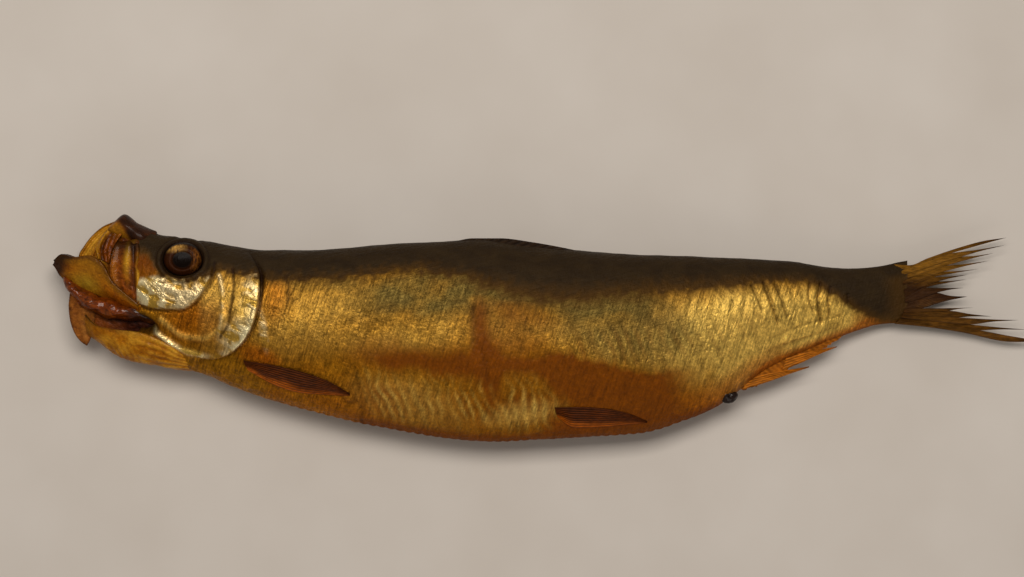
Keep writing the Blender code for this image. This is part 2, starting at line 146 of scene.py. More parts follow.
def stroke(x, y, points, width):
    """How near (x, y) is to a line through the points: 1 on it, fading over width."""
    share = np.linspace(0, 1, 6 * len(points))
    route = path_through(points)(share)
    nearest = np.full(np.shape(x), 1e9)
    for (ax, ay), (bx, by) in zip(route[:-1], route[1:]):
        dx, dy = bx - ax, by - ay
        t = np.clip(((x - ax) * dx + (y - ay) * dy) / (dx * dx + dy * dy), 0, 1)
        nearest = np.minimum(nearest, np.hypot(x - ax - t * dx, y - ay - t * dy))
    return np.exp(-((nearest / width) ** 2))


def side_of(x, y, points):
    """Signed distance to a line through the points, positive on the right of someone who walks along it."""
    share = np.linspace(0, 1, 6 * len(points))
    route = path_through(points)(share)
    nearest, sign = np.full(np.shape(x), 1e9), np.ones(np.shape(x))
    for (ax, ay), (bx, by) in zip(route[:-1], route[1:]):
        dx, dy = bx - ax, by - ay
        t = np.clip(((x - ax) * dx + (y - ay) * dy) / (dx * dx + dy * dy), 0, 1)
        far = np.hypot(x - ax - t * dx, y - ay - t * dy)
        closer = far < nearest
        nearest = np.where(closer, far, nearest)
        sign = np.where(closer, np.sign(dy * (x - ax) - dx * (y - ay)), sign)
    return nearest * sign


LATTICE = np.random.default_rng(11).random((32, 32, 32)) * 2 - 1


def noise(p, size, seed=0):
    """Smooth noise from -1 to 1 at the points p, with blobs about size across. Size may differ by axis."""
    q = np.asarray(p, float) / np.asarray(size, float) + seed * np.array([3.7, 8.3, 5.1])
    cell = np.floor(q).astype(int)
    f = q - cell
    f = f * f * (3 - 2 * f)
    total = 0.0
    for corner in np.ndindex(2, 2, 2):
        weight = np.ones(q.shape[:-1])
        for axis in range(3):
            weight = weight * (f[..., axis] if corner[axis] else 1 - f[..., axis])
        at = (cell + corner) % 32
        total = total + weight * LATTICE[at[..., 0], at[..., 1], at[..., 2]]
    return total


def rough(p, size, octaves=4, seed=0):
    """Noise with finer and finer detail."""
    size = np.asarray(size, float)
    return sum(noise(p, size / 2**k, seed + k) / 2**k for k in range(octaves)) / 1.9


# ---------------------------------------------------------------- mesh and piece helpers
def place(points):
    """Takes points from the fish's frame, in millimetres, to the row's, in metres."""
    return np.asarray(points) * MM + ORIGIN


def grid_faces(rows, cols, closed_rows=False, closed_cols=False, start=0):
    """Quads of a grid of rows x cols points, which may close on itself either way."""
    r = np.arange(rows if closed_rows else rows - 1)
    c = np.arange(cols if closed_cols else cols - 1)
    i, j = np.meshgrid(r, c, indexing="ij")
    i2, j2 = (i + 1) % rows, (j + 1) % cols
    quads = np.stack([i * cols + j, i2 * cols + j, i2 * cols + j2, i * cols + j2], axis=-1)
    return quads.reshape(-1, 4) + start


def make_piece(name, points, faces, masks, material, node="smoked_fish"):
    """An object from points in the fish's frame. masks maps an attribute's name to a number per point."""
    mesh = bpy.data.meshes.new(name)
    mesh.from_pydata(place(points).tolist(), [], [list(face) for face in faces])
    for key, values in masks.items():
        attribute = mesh.attributes.new(key, "FLOAT", "POINT")
        attribute.data.foreach_set("value", np.asarray(values, np.float32).ravel())
    mesh.validate()
    mesh.shade_smooth()
    mesh.materials.append(material)
    piece = bpy.data.objects.new(name, mesh)
    bpy.context.scene.collection.objects.link(piece)
    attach(piece, "root")
    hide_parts(node)
    return piece


def shell_faces(rows, cols, start=0):
    """Faces of a closed plate: a grid of points, the same grid again for its other side, and its rim."""
    count = rows * cols
    rim = ([(0, j) for j in range(cols)] + [(i, cols - 1) for i in range(1, rows)]
           + [(rows - 1, j) for j in range(cols - 2, -1, -1)] + [(i, 0) for i in range(rows - 2, 0, -1)])
    edge = np.array([i * cols + j for i, j in rim]) + start
    after = np.roll(edge, -1)
    sides = np.stack([edge, after, after + count, edge + count], axis=-1)
    upper = grid_faces(rows, cols, start=start)[:, ::-1]
    return np.concatenate([upper, grid_faces(rows, cols, start=start + count), sides])


def tube_faces(rows, cols, turned=False):
    """Faces of a grid that closes on itself in its second direction, with a cap at both ends."""
    faces = [tuple(face) for face in grid_faces(rows, cols, closed_cols=True)]
    faces += [tuple(range(cols))[::-1], tuple(range((rows - 1) * cols, rows * cols))]
    return [face[::-1] for face in faces] if turned else faces


def join_plates(name, plates, material, down=(0, 0, -1)):
    """One piece of closed plates. Each has a grid of points for its upper face, a thickness and masks."""
    points, faces, gathered, start = [], [], {}, 0
    for top, thickness, masks in plates:
        rows, cols = top.shape[:2]
        depth = np.broadcast_to(np.asarray(thickness, float), (rows, cols))[..., None]
        points += [top.reshape(-1, 3), (top + depth * np.asarray(down, float)).reshape(-1, 3)]
        faces.append(shell_faces(rows, cols, start))
        for key, values in masks.items():
            gathered.setdefault(key, []).extend([np.ravel(values), np.ravel(values)])
        start += 2 * rows * cols
    masks = {key: np.concatenate(values) for key, values in gathered.items()}
    return make_piece(name, np.concatenate(points), np.concatenate(faces), masks, material)


def plate(name, top, thickness, masks, material, down=(0, 0, -1)):
    """One closed plate: a grid of points for its upper face, and the same grid moved along down."""
    return join_plates(name, [(top, thickness, masks)], material, down)


def between(edge_a, edge_b, rows, cols):
    """A grid in the plane from edge_a (t = 0) to edge_b (t = 1): x, y, s along the edges, and t across."""
    s = np.linspace(0, 1, rows)
    t = np.linspace(0, 1, cols)
    first, second = path_through(edge_a)(s), path_through(edge_b)(s)
    s, t = np.meshgrid(s, t, indexing="ij")
    xy = first[:, None] * (1 - t[..., None]) + second[:, None] * t[..., None]
    return xy[..., 0], xy[..., 1], s, t


# ---------------------------------------------------------------- material helpers
class Look:
    """A node material, built up with short calls."""

    def __init__(self, name):
        self.material = bpy.data.materials.new(name)
        self.material.use_nodes = True
        self.tree = self.material.node_tree
        self.shader = self.tree.nodes["Principled BSDF"]

    def node(self, kind, **values):
        made = self.tree.nodes.new(kind)
        for key, value in values.items():
            setattr(made, key, value)
        return made

    def wire(self, value, socket):
        if isinstance(value, bpy.types.NodeSocket):
            self.tree.links.new(value, socket)
        else:
            socket.default_value = value

    def mask(self, name):
        return self.node("ShaderNodeAttribute", attribute_name=name).outputs["Fac"]

    def object_place(self):
        return self.node("ShaderNodeTexCoord").outputs["Object"]

    def math(self, operation, a, b=0.0, clamp=False):
        made = self.node("ShaderNodeMath", operation=operation, use_clamp=clamp)
        self.wire(a, made.inputs[0])
        self.wire(b, made.inputs[1])
        return made.outputs[0]

    def mix(self, share, a, b, blend="MIX"):
        made = self.node("ShaderNodeMix", data_type="RGBA", blend_type=blend)
        self.wire(share, made.inputs["Factor"])
        self.wire((*a, 1) if isinstance(a, tuple) else a, made.inputs[6])
        self.wire((*b, 1) if isinstance(b, tuple) else b, made.inputs[7])
        return made.outputs[2]

    def range(self, value, low, high, to_low=0.0, to_high=1.0):
        made = self.node("ShaderNodeMapRange", clamp=True)
        for socket, given in zip(made.inputs[:5], (value, low, high, to_low, to_high)):
            self.wire(given, socket)
        return made.outputs[0]

    def stretched(self, sizes, turn=0.0):
        """The object's own place, in units of sizes (metres), turned about Z by turn degrees first."""
        turned = self.node("ShaderNodeMapping", vector_type="POINT")
        self.wire(self.object_place(), turned.inputs["Vector"])
        turned.inputs["Rotation"].default_value = (0, 0, math.radians(turn))
        sized = self.node("ShaderNodeMapping", vector_type="POINT")
        self.wire(turned.outputs[0], sized.inputs["Vector"])
        sized.inputs["Scale"].default_value = tuple(1 / size for size in sizes)
        return sized.outputs[0]

    def noise(self, sizes, turn=0.0, detail=3.0, roughness=0.55, distortion=0.0):
        made = self.node("ShaderNodeTexNoise")
        self.wire(self.stretched(sizes, turn), made.inputs["Vector"])
        made.inputs["Scale"].default_value = 1.0
        made.inputs["Detail"].default_value = detail
        made.inputs["Roughness"].default_value = roughness
        made.inputs["Distortion"].default_value = distortion
        return made.outputs["Fac"]

    def cells(self, sizes, turn=0.0, feature="F1", randomness=0.8):
        made = self.node("ShaderNodeTexVoronoi", feature=feature)
        self.wire(self.stretched(sizes, turn), made.inputs["Vector"])
        made.inputs["Scale"].default_value = 1.0
        made.inputs["Randomness"].default_value = randomness
        return made.outputs["Distance"]

    def relief(self, heights, distance):
        """Bumps from (height, strength) pairs, one on top of the other, each distance high, in metres."""
        normal = None
        for height, strength in heights:
            made = self.node("ShaderNodeBump")
            made.inputs["Strength"].default_value = strength
            made.inputs["Distance"].default_value = distance
            self.wire(height, made.inputs["Height"])
            if normal is not None:
                self.wire(normal, made.inputs["Normal"])
            normal = made.outputs["Normal"]
        self.wire(normal, self.shader.inputs["Normal"])

    def finish(self, **sockets):
        for key, value in sockets.items():
            self.wire(value, self.shader.inputs[key.replace("_", " ")])
        return self.material


def rgb(red, green, blue):
    """A screen colour, from 0 to 255, as the linear colour that a shader takes."""
    return tuple((c / 255 / 12.92) if c <= 10 else ((c / 255 + 0.055) / 1.055) ** 2.4 for c in (red, green,
                                                                                                blue))


# ---------------------------------------------------------------- where things are on the fish
GILL_REAR_EDGE = [(58.0, 23.6), (61.2, 19.6), (62.8, 15.5), (62.7, 9.5), (61.8, 4.0), (60.4, 0.0),
                  (57.6, -4.4), (53.4, -7.8), (48.6, -9.2), (43.5, -8.6)]
CHEEK_EDGE = [(25.4, 14.6), (25.4, 8.4), (28.5, 6.4), (33.6, 5.7), (39.0, 5.6), (43.0, 7.6), (46.2, 11.4),
              (48.2, 15.4), (48.6, 20.4)]
JAW_CREST = [(26.2, 3.4), (31.8, -1.7), (38.4, -6.2), (45.0, -8.0)]
UPPER_CREST = [(33.0, 2.6), (38.6, -1.8), (45.6, -2.8), (50.0, -0.4), (52.2, 3.6)]
PREOPERCLE_EDGE = [(54.6, 17.6), (54.9, 13.0), (54.0, 6.0), (53.2, 1.0), (51.0, -2.4)]
PREOPERCLE_RIDGE = [(50.4, 16.5), (51.6, 11.0), (51.4, 4.0), (50.6, -1.4)]
SHOULDER_EDGE = [(70.4, 15.6), (71.4, 10.8), (70.6, 6.2), (67.4, 0.0), (64.2, -5.2), (61.8, -8.6)]
PECTORAL_UPPER = [(57.6, -9.6), (66.0, -10.9), (75.0, -12.9), (83.0, -15.8), (89.4, -19.4)]
PECTORAL_LOWER = [(59.0, -12.6), (66.0, -16.6), (73.0, -19.0), (82.0, -19.9), (89.4, -20.2)]
PELVIC_UPPER = [(150.4, -23.6), (157.5, -23.5), (166.5, -24.1), (173.0, -25.6), (178.2, -27.8)]
PELVIC_LOWER = [(151.2, -26.6), (156.5, -29.8), (165.0, -29.5), (172.0, -28.9), (178.2, -28.4)]


def head_relief(x, y):
    """Height of the head's bones over the plain skin, and the masks that colour them."""
    eye_x, eye_y = EYE_PLACE
    ring = np.hypot((x - eye_x) / EYE_RADII[0], (y - eye_y) / EYE_RADII[1])
    socket = 1 - smoothstep(0.90, 1.04, ring)
    rear = side_of(x, y, GILL_REAR_EDGE)
    low_share = smoothstep(23.5, 18.5, y)
    cover = smoothstep(-0.15, 0.35, rear) * smoothstep(43.0, 47.0, x) * low_share
    cheek = smoothstep(-0.2, 0.5, -side_of(x, y, CHEEK_EDGE)) * smoothstep(24.6, 26.0, x)
    cheek = cheek * (1 - smoothstep(13.6, 15.4, y - 0.15 * (x - 26)))
    crest = stroke(x, y, JAW_CREST, 0.75)
    upper_crest = stroke(x, y, UPPER_CREST, 0.8)
    pre_edge = stroke(x, y, PREOPERCLE_EDGE, 0.42)
    pre_ridge = stroke(x, y, PREOPERCLE_RIDGE, 0.7)
    return {"ring": ring, "socket": socket, "rear": rear, "cover": cover, "cheek": cheek, "crest": crest,
            "upper_crest": upper_crest, "pre_edge": pre_edge, "pre_ridge": pre_ridge, "low": low_share}


def body_grid():
    """Stations along the body, closer together where the detail is finer, and turns around it."""
    x = np.concatenate([[BODY_START]] + [np.linspace(*stretch)[1:] for stretch in BODY_STRETCHES])
    turn = np.linspace(0, 2 * math.pi, BODY_TURNS, endpoint=False)
    x, turn = np.meshgrid(x, turn, indexing="ij")
    v = (1 - np.cos(turn)) / 2
    side = np.where(turn <= math.pi, 1.0, -1.0)
    y = back(x) + (belly(x) - back(x)) * v
    z = middle(x) + side * half_thickness(x) * fullness(v)
    return x, y, z, v


def outward(points):
    """Unit normals of a grid that closes on itself in its second direction."""
    along = np.gradient(points, axis=0)
    around = np.roll(points, -1, axis=1) - np.roll(points, 1, axis=1)
    normal = np.cross(around, along)
    return normal / np.maximum(np.linalg.norm(normal, axis=-1, keepdims=True), 1e-9)


def muscle_blocks(x, y, v, p):
    """Slanted folds over the rear flank, with soft sides: -1 in them, 1 between them."""
    slant = x + 0.50 * (y - 4) * np.where(y > 4, -0.6, 1.0)
    wave = np.sin(2 * math.pi * (slant + 1.6 * noise(p, 7.0, 3)) / MUSCLE_PITCH)
    wave = wave * (0.4 + 0.6 * smoothstep(-0.3, 0.4, noise(p, (6.0, 4.0, 5.0), 4)))
    return wave * smoothstep(140, 160, x) * (1 - smoothstep(206, 222, x)) * bump(v, 0.50, 0.20)


def scale_rows(x, y, v, p):
    """Slanted rows of scales above the keel."""
    rows = np.sin(2 * math.pi * (x + 0.30 * y + 2.0 * noise(p, 5.0, 5)) / SCALE_PITCH)
    rows = rows * (0.35 + 0.65 * smoothstep(-0.3, 0.5, noise(p, (5.0, 3.0, 4.0), 6)))
    return rows * smoothstep(88, 98, x) * (1 - smoothstep(148, 158, x)) * bump(v, 0.82, 0.12)


# Creases of the flank: the line that each runs along, its depth, negative for a ridge, and its width.
FLANK_CREASES = [
    ([(87.0, 0.4), (94.0, 3.6), (102.0, 6.6), (110.0, 9.6)], 0.32, 0.42),
    ([(126.2, 7.0), (126.5, 1.0), (126.0, -4.5)], 0.42, 0.45),
    ([(139.0, 8.0), (141.2, 4.0), (142.0, -1.0)], 0.36, 0.45),
    ([(136.4, 8.4), (137.6, 5.6), (138.0, 2.8)], 0.26, 0.40),
    ([(131.0, 23.5), (131.6, 17.0), (132.0, 11.0)], 0.26, 0.50),
    ([(128.6, -6.0), (130.2, -12.0), (130.8, -17.0)], 0.30, 0.70),
    ([(121.6, -4.0), (122.6, -9.0), (121.4, -14.0)], 0.22, 0.70),
    ([(88.8, -9.0), (91.6, -16.0), (92.8, -22.0), (92.2, -27.5)], 0.36, 0.42),
    ([(92.4, -18.6), (97.0, -18.9), (103.0, -18.2), (108.0, -17.4)], -0.26, 0.35),
    ([(95.5, -17.2), (101.0, -18.2), (107.0, -18.6)], -0.18, 0.35),
    ([(86.6, -20.4), (89.2, -22.6), (91.4, -22.0)], 0.45, 0.45),
    ([(88.6, -18.6), (90.6, -20.4), (92.4, -24.0)], 0.35, 0.40),
    ([(92.6, -27.6), (93.0, -29.8)], 0.60, 0.50),
    ([(209.4, 12.8), (211.6, 8.2), (212.6, 5.0)], 0.70, 0.40),
    ([(213.0, 13.6), (215.2, 8.0), (217.6, 1.6)], 0.95, 0.42),
    ([(216.6, 13.2), (218.6, 8.0), (220.2, 3.4)], 0.85, 0.40),
    ([(227.0, 13.4), (226.8, 9.4), (228.2, 5.0)], 0.65, 0.38),
    ([(230.4, 13.6), (229.6, 8.6), (230.6, 1.6)], 0.90, 0.40),
    ([(233.4, 12.6), (232.8, 8.0), (233.2, 3.8)], 0.75, 0.38),
    ([(238.6, 10.2), (239.0, 7.2), (240.4, 5.4)], 0.70, 0.40),
    ([(71.2, 7.6), (72.6, 11.6), (74.6, 15.4)], 0.45, 0.48),
    ([(73.8, 9.0), (75.6, 12.6), (78.2, 15.8)], 0.50, 0.46),
    ([(77.0, 9.6), (79.2, 13.0), (82.2, 16.0)], 0.38, 0.46),
    ([(69.0, 1.0), (71.4, 5.4), (73.2, 9.4)], 0.35, 0.46),
    ([(81.6, 10.4), (84.4, 13.8), (88.4, 16.6)], 0.28, 0.46),
    ([(154.6, 1.4), (157.4, -3.0), (158.6, -7.6)], 0.34, 0.56),
    ([(158.4, 0.6), (161.0, -4.0), (162.4, -9.0)], 0.42, 0.54),
    ([(163.2, -0.6), (165.4, -5.0), (166.4, -9.6)], 0.36, 0.54),
    ([(166.6, 1.2), (169.6, -4.2), (170.8, -10.0)], 0.46, 0.56),
    ([(171.4, -0.8), (173.8, -5.6), (174.8, -10.4)], 0.38, 0.54),
    ([(175.6, 0.0), (178.4, -5.4), (179.8, -10.8)], 0.42, 0.56),
    ([(180.4, -2.4), (182.6, -7.0), (183.8, -11.4)], 0.34, 0.54),
    ([(215.0, -3.4), (224.0, 0.4), (236.0, 3.6)], 0.30, 0.60),
    ([(214.0, -7.2), (224.0, -3.8), (237.0, 0.6)], 0.30, 0.55),
]


def folds(x, y, p):
    """The dried skin's creases and swellings away from the head, in millimetres."""
    depth = back(x) - belly(x)
    v = (back(x) - y) / depth
    flank_only = smoothstep(0.02, 0.14, v) * (1 - smoothstep(0.93, 1.0, v))
    blocks = 0.30 * muscle_blocks(x, y, v, p)
    ribs = 0.20 * scale_rows(x, y, v, p)
    # Fine wrinkles over the shoulder, that fan out behind the gill cover.
    shoulder = np.sin(2 * math.pi * (x - 0.42 * y + 1.6 * noise(p, 6.0, 8)) / 1.55)
    shoulder = 0.24 * shoulder * (0.5 + 0.5 * noise(p, (4.0, 9.0, 6.0), 9))
    shoulder = shoulder * smoothstep(64, 67, x) * (1 - smoothstep(84, 104, x)) * bump(v, 0.34, 0.22)
    # Long pale wrinkles under the back.
    run = 0.24 * x + 1.5 * noise(p, (16.0, 6.0, 9.0), 12)
    long_ones = 0.40 * (1 - np.abs(np.sin(math.pi * (y - run) / 1.7))) ** 3
    long_ones = long_ones * ellipse(x, y, (108, 12.0), (25, 8.0), 8, 0.5)
    long_ones = long_ones * (0.6 + 0.4 * noise(p, (9, 4, 6), 13))
    # Crosswise wrinkles where the tail bends.
    tail_ones = np.sin(2 * math.pi * (x + 0.30 * (y - 8) + 0.8 * noise(p, 6.0, 15)) / 2.6)
    tail_ones = 0.07 * tail_ones * ellipse(x, y, (224, 7.0), (15, 8), -8, 0.5)
    swell = 0.45 * rough(p, (19.0, 12.0, 12.0), 3, 20) + 0.12 * rough(p, (5.0, 3.4, 4.0), 3, 24)
    lumps = 0.05 * rough(p, (1.5, 2.6, 2.0), 2, 31)
    creases = 0.0
    for points, deep, width in FLANK_CREASES:
        creases = creases - deep * stroke(x, y, points, width)
    return (blocks + ribs + shoulder + long_ones + tail_ones + creases) * flank_only + swell + lumps




def make_skin():
    """The body and the head's bony covers as one closed skin, with its relief and its masks."""
    x, y, z, v = body_grid()
    p = np.stack([x, y, z], axis=-1)
    normal = outward(p)
    h = head_relief(x, y)
    on_head = 1 - smoothstep(62.0, 68.0, x)
    grain = noise(p, (1.2, 1.0, 1.2), 41)
    deepest = 0.35 + 0.65 * bump(y, 12.0, 7.0) + 0.35 * bump(y, 0.0, 3.0)
    behind_cover = (1 - smoothstep(-0.1, 0.3, h["rear"]))
    behind_cover = behind_cover * bump(h["rear"], -0.3, 0.34 + 0.5 * bump(y, 15, 3.5))
    behind_cover = np.clip(behind_cover * deepest, 0, 1) * h["low"] * smoothstep(46, 50, x)
    up = folds(x, y, p) * (1 - 0.8 * on_head)
    up = up + 0.85 * h["cover"] * smoothstep(12.0, 0.0, h["rear"])
    up = up - 1.3 * behind_cover
    up = up - 0.5 * smoothstep(-4.5, -0.5, h["rear"]) * (h["rear"] < 0) * h["low"] * (x > 44)
    up = up + 0.55 * h["cheek"] + 0.55 * h["crest"] + 0.45 * h["upper_crest"] + 0.25 * h["pre_ridge"]
    up = up - 0.35 * h["pre_edge"] - 0.25 * stroke(x, y, SHOULDER_EDGE, 0.5)
    up = up - 0.35 * bump(side_of(x, y, CHEEK_EDGE), 0.5, 0.5) * smoothstep(24, 27, x) * (y < 20)
    up = up + 0.50 * bump(h["ring"], 1.16, 0.10) - 3.4 * h["socket"] - 0.3 * bump(h["ring"], 1.32, 0.07)
    up = up - 5.0 * ellipse(x, y, (25.0, 1.6), (5.6, 2.3), -18, 0.5)
    up = up + (0.20 * rough(p, (4.0, 3.0, 3.0), 4, 50) + 0.10 * rough(p, (1.6, 1.1, 1.5), 3, 55)) * on_head
    up = up + 0.10 * stroke(x, y, [(57.0, 7.4), (61.2, 7.5)], 0.4)
    up = up - 0.30 * ellipse(x, y, (59.2, 6.1), (1.9, 1.0))
    teeth = 0.34 * np.abs(np.sin(math.pi * x / KEEL_TOOTH_PITCH))
    teeth = teeth * (0.4 + 0.6 * smoothstep(-0.2, 0.5, noise(p, 15.0, 44)))
    teeth = teeth * smoothstep(60, 70, x) * (1 - smoothstep(185, 200, x))
    keel = bump(v, 1.0, 0.004)
    p = p + normal * up[..., None]
    p[..., 1] -= teeth * keel
    p[..., 2] = np.maximum(p[..., 2], 0.0)

    spots = rough(p, (14.0, 7.0, 9.0), 4, 60)
    edge_of_back = 0.165 + 0.04 * spots + 0.07 * bump(x, 148, 24) - 0.04 * bump(x, 108, 20)
    edge_of_back = edge_of_back + 0.14 * smoothstep(52, 42, x) * smoothstep(29, 34, x)
    edge_of_back = edge_of_back + 0.80 * smoothstep(226, 255, x)
    blur = 0.09 + 0.05 * smoothstep(120, 150, x) + 0.10 * smoothstep(225, 245, x)
    dark = 1 - smoothstep(edge_of_back - 0.6 * blur, edge_of_back + blur, v + 0.03 * grain + 0.03 * spots)
    dark = dark * (1 - 0.32 * smoothstep(248.0, 254.5, x + 2.5 * spots) * smoothstep(0.14, 0.30, v))
    masks = {
        "dark": dark,
        "stain_and_shade": stains_and_shade(x, y, v, spots, p),
        "sheen": sheens(x, y, spots, p),
        "gold_and_highlight": golds_and_highlights(x, y, v, spots, h, p),
        "silver": silvers(x, y, h),
        "amber": ambers(x, y, v, h, spots),
        "crease_shade": crease_shades(x, y, h, behind_cover),
    }
    return make_piece("skin", p.reshape(-1, 3), tube_faces(*x.shape, turned=True), masks, skin_look())


def stains_and_shade(x, y, v, spots, p):
    """Where smoke and fat have browned the skin, and painted shade in the brown band of the lower flank."""
    wander = 0.03 * noise(p, (7.0, 5.0, 6.0), 62)
    # band and lower: a brown band along the lower flank, partly painted shade where the skin faces away from
    # the light.
    band = bump(v + wander, 0.615, 0.085) * smoothstep(82, 104, x) * (1 - smoothstep(150, 166, x))
    edge = 0.56 + 0.12 * (x - 152) / 35 + 0.6 * wander
    lower = smoothstep(edge - 0.03, edge + 0.04, v) * smoothstep(144, 156, x) * (1 - smoothstep(176, 205, x))
    lower = lower * (1 - 0.75 * ellipse(x, y, (141, -25.5), (12, 4.5), 8, 0.6))
    crossband = 0.85 * ellipse(x, y, (128.2, -2.0), (2.4, 10), 2, 0.8)
    crossband = crossband + 0.7 * ellipse(x, y, (131.6, -13), (2.6, 9), 0, 0.8)
    crossband = crossband + 0.35 * ellipse(x, y, (140, 5.0), (8, 3.0), -12, 0.8)
    crossband = crossband + 0.12 * ellipse(x, y, (137, 0.0), (11, 7.0), 0, 0.8)
    crossband = crossband + 0.8 * smoothstep(247, 252, x)
    rim = 0.75 * smoothstep(0.93, 1.0, v) * smoothstep(80, 100, x)
    snout_side = ellipse(x, y, (27.6, 20.5), (5.4, 7.0), 12, 0.4)
    chevrons = -0.35 * muscle_blocks(x, y, v, p) * smoothstep(0.38, 0.46, v)
    belly = 0.45 * smoothstep(0.70, 0.80, v) * smoothstep(84, 96, x) * (1 - smoothstep(146, 156, x))
    belly = belly - 0.38 * scale_rows(x, y, v, p)
    return np.clip(1.1 * band + 1.15 * lower + crossband + rim + snout_side + chevrons + belly + 0.30
                   * spots, 0, 1)


def sheens(x, y, spots, p):
    """Where the skin keeps a grey-green sheen."""
    total = ellipse(x, y, (113, 11.0), (26, 8.0), 4, 0.55)
    total = total + 0.95 * ellipse(x, y, (152, 12.5), (24, 7.0), -8, 0.55)
    total = total + 0.65 * ellipse(x, y, (172, 1.0), (24, 10.0), -14, 0.6)
    total = total + 0.34 * ellipse(x, y, (137, 0.5), (9, 6.0), 0, 0.6)
    total = total + 0.5 * ellipse(x, y, (76, 15.0), (14, 3.5), 0, 0.6)
    return np.clip(total * (1 + 0.5 * spots + 0.3 * noise(p, (5.0, 2.4, 4.0), 64)), 0, 1)


def golds_and_highlights(x, y, v, spots, h, p):
    """Bright gold: partly the skin's own, partly painted highlight where the flank and the crests shine."""
    total = 0.95 * ellipse(x, y, (228, 2.5), (29, 9.0), -2, 0.6)
    total = total + 0.95 * ellipse(x, y, (204, -5.0), (21, 13), -12, 0.7)
    total = total + 0.36 * ellipse(x, y, (77, 3.5), (16, 9.0), 8, 0.8)
    # A pale band of painted highlight along the middle of the flank.
    total = total + 0.36 * ellipse(x, y, (110, -2.2), (17, 4.6), 6, 0.8)
    total = total + 0.80 * ellipse(x, y, (141, -25.5), (9, 3.0), 8, 0.8)
    total = total + 0.40 * ellipse(x, y, (107, -22.0), (14, 5.5), -12, 0.8)
    total = total + 0.12 * ellipse(x, y, (137, -0.5), (8, 5.0), 0, 0.8)
    total = total + 0.42 * ellipse(x, y, (168, -4.0), (18, 5.5), -8, 0.7)
    total = total + 0.65 * h["cover"] * bump(y, 6, 9) + 0.9 * h["crest"] + 0.7 * h["upper_crest"]
    eye_x, eye_y = EYE_PLACE
    total = total + 0.9 * bump(h["ring"], 1.24, 0.10) * smoothstep(0.0, 4.0, x - eye_x - y + eye_y)
    total = total + 0.55 * np.maximum(scale_rows(x, y, v, p), 0)
    return np.clip(total * (1 + 0.45 * spots + 0.25 * noise(p, (2.6, 5.0, 4.0), 66)), 0, 1)


def silvers(x, y, h):
    total = h["cheek"] * (0.60 + 0.40 * bump(x, 28.5, 5))
    total = total + 0.75 * ellipse(x, y, (57.0, -2.0), (5.5, 4.0), 30, 0.7) * h["cover"]
    total = total + 0.35 * bump(h["rear"], 1.0, 0.8) * h["cover"]
    total = total + 0.5 * ellipse(x, y, (60, 10), (2.4, 5), 0, 0.8)
    total = total + 0.5 * ellipse(x, y, (63.8, -0.6), (1.0, 4.6), 8, 0.8)
    total = total + 0.4 * stroke(x, y, PREOPERCLE_RIDGE, 0.6)
    total = total + 0.8 * h["crest"] * smoothstep(25, 30, x)
    return np.clip(total, 0, 1)


def ambers(x, y, v, h, spots):
    """Orange-brown, half clear skin: over the cheek bones, behind the gills and along the anal fin."""
    total = 0.6 * ellipse(x, y, (44, 2.4), (9, 5.5), 8, 0.8) * (1 - h["cheek"])
    total = total + 0.45 * ellipse(x, y, (67.5, 9.0), (3.4, 6.4), -8, 0.8)
    total = total + 0.66 * smoothstep(0.74, 0.90, v) * smoothstep(180, 192, x) * (1 - smoothstep(214, 226, x))
    total = total + 0.35 * smoothstep(0.6, 0.9, v) * (1 - smoothstep(90, 110, x)) * smoothstep(60, 68, x)
    total = total + 0.85 * ellipse(x, y, (62.0, -8.4), (6.0, 3.0), -20, 0.6)
    total = total + smoothstep(3.4, 0.6, y - belly(x)) * smoothstep(206, 216, x)
    total = total + 1.0 * ellipse(x, y, (250, 3.0), (8, 2.6), 4, 0.6)
    total = total + 0.15 * ellipse(x, y, (134, -2.0), (11, 4.5), 0, 0.8)
    # A painted orange glint under the pelvic fin.
    total = total + 0.9 * ellipse(x, y, (164, -28.0), (13, 2.2), 4, 0.6)
    return np.clip(total * (1 + 0.4 * spots), 0, 1)


def crease_shades(x, y, h, behind_cover):
    # Painted shade: dark lines in the slit behind the gill cover, along the head's edges, round the eye's
    # socket, in the mouth's pit and in the flank's creases.
    total = 1.3 * behind_cover + 0.9 * h["pre_edge"] + 0.8 * stroke(x, y, SHOULDER_EDGE, 0.4) * bump(y, 12, 7)
    total = total + 0.8 * bump(side_of(x, y, CHEEK_EDGE), 0.5, 0.4) * smoothstep(24, 27, x) * (y < 20)
    total = total + 0.9 * bump(h["ring"], 1.05, 0.05) + 0.55 * bump(h["ring"], 1.30, 0.05)
    total = total + ellipse(x, y, (25.0, 1.6), (6.2, 2.9), -18, 0.4)
    for points, deep, width in FLANK_CREASES:
        if deep > 0:
            total = total + 0.9 * deep * stroke(x, y, points, 0.8 * width)
    return np.clip(total, 0, 1)


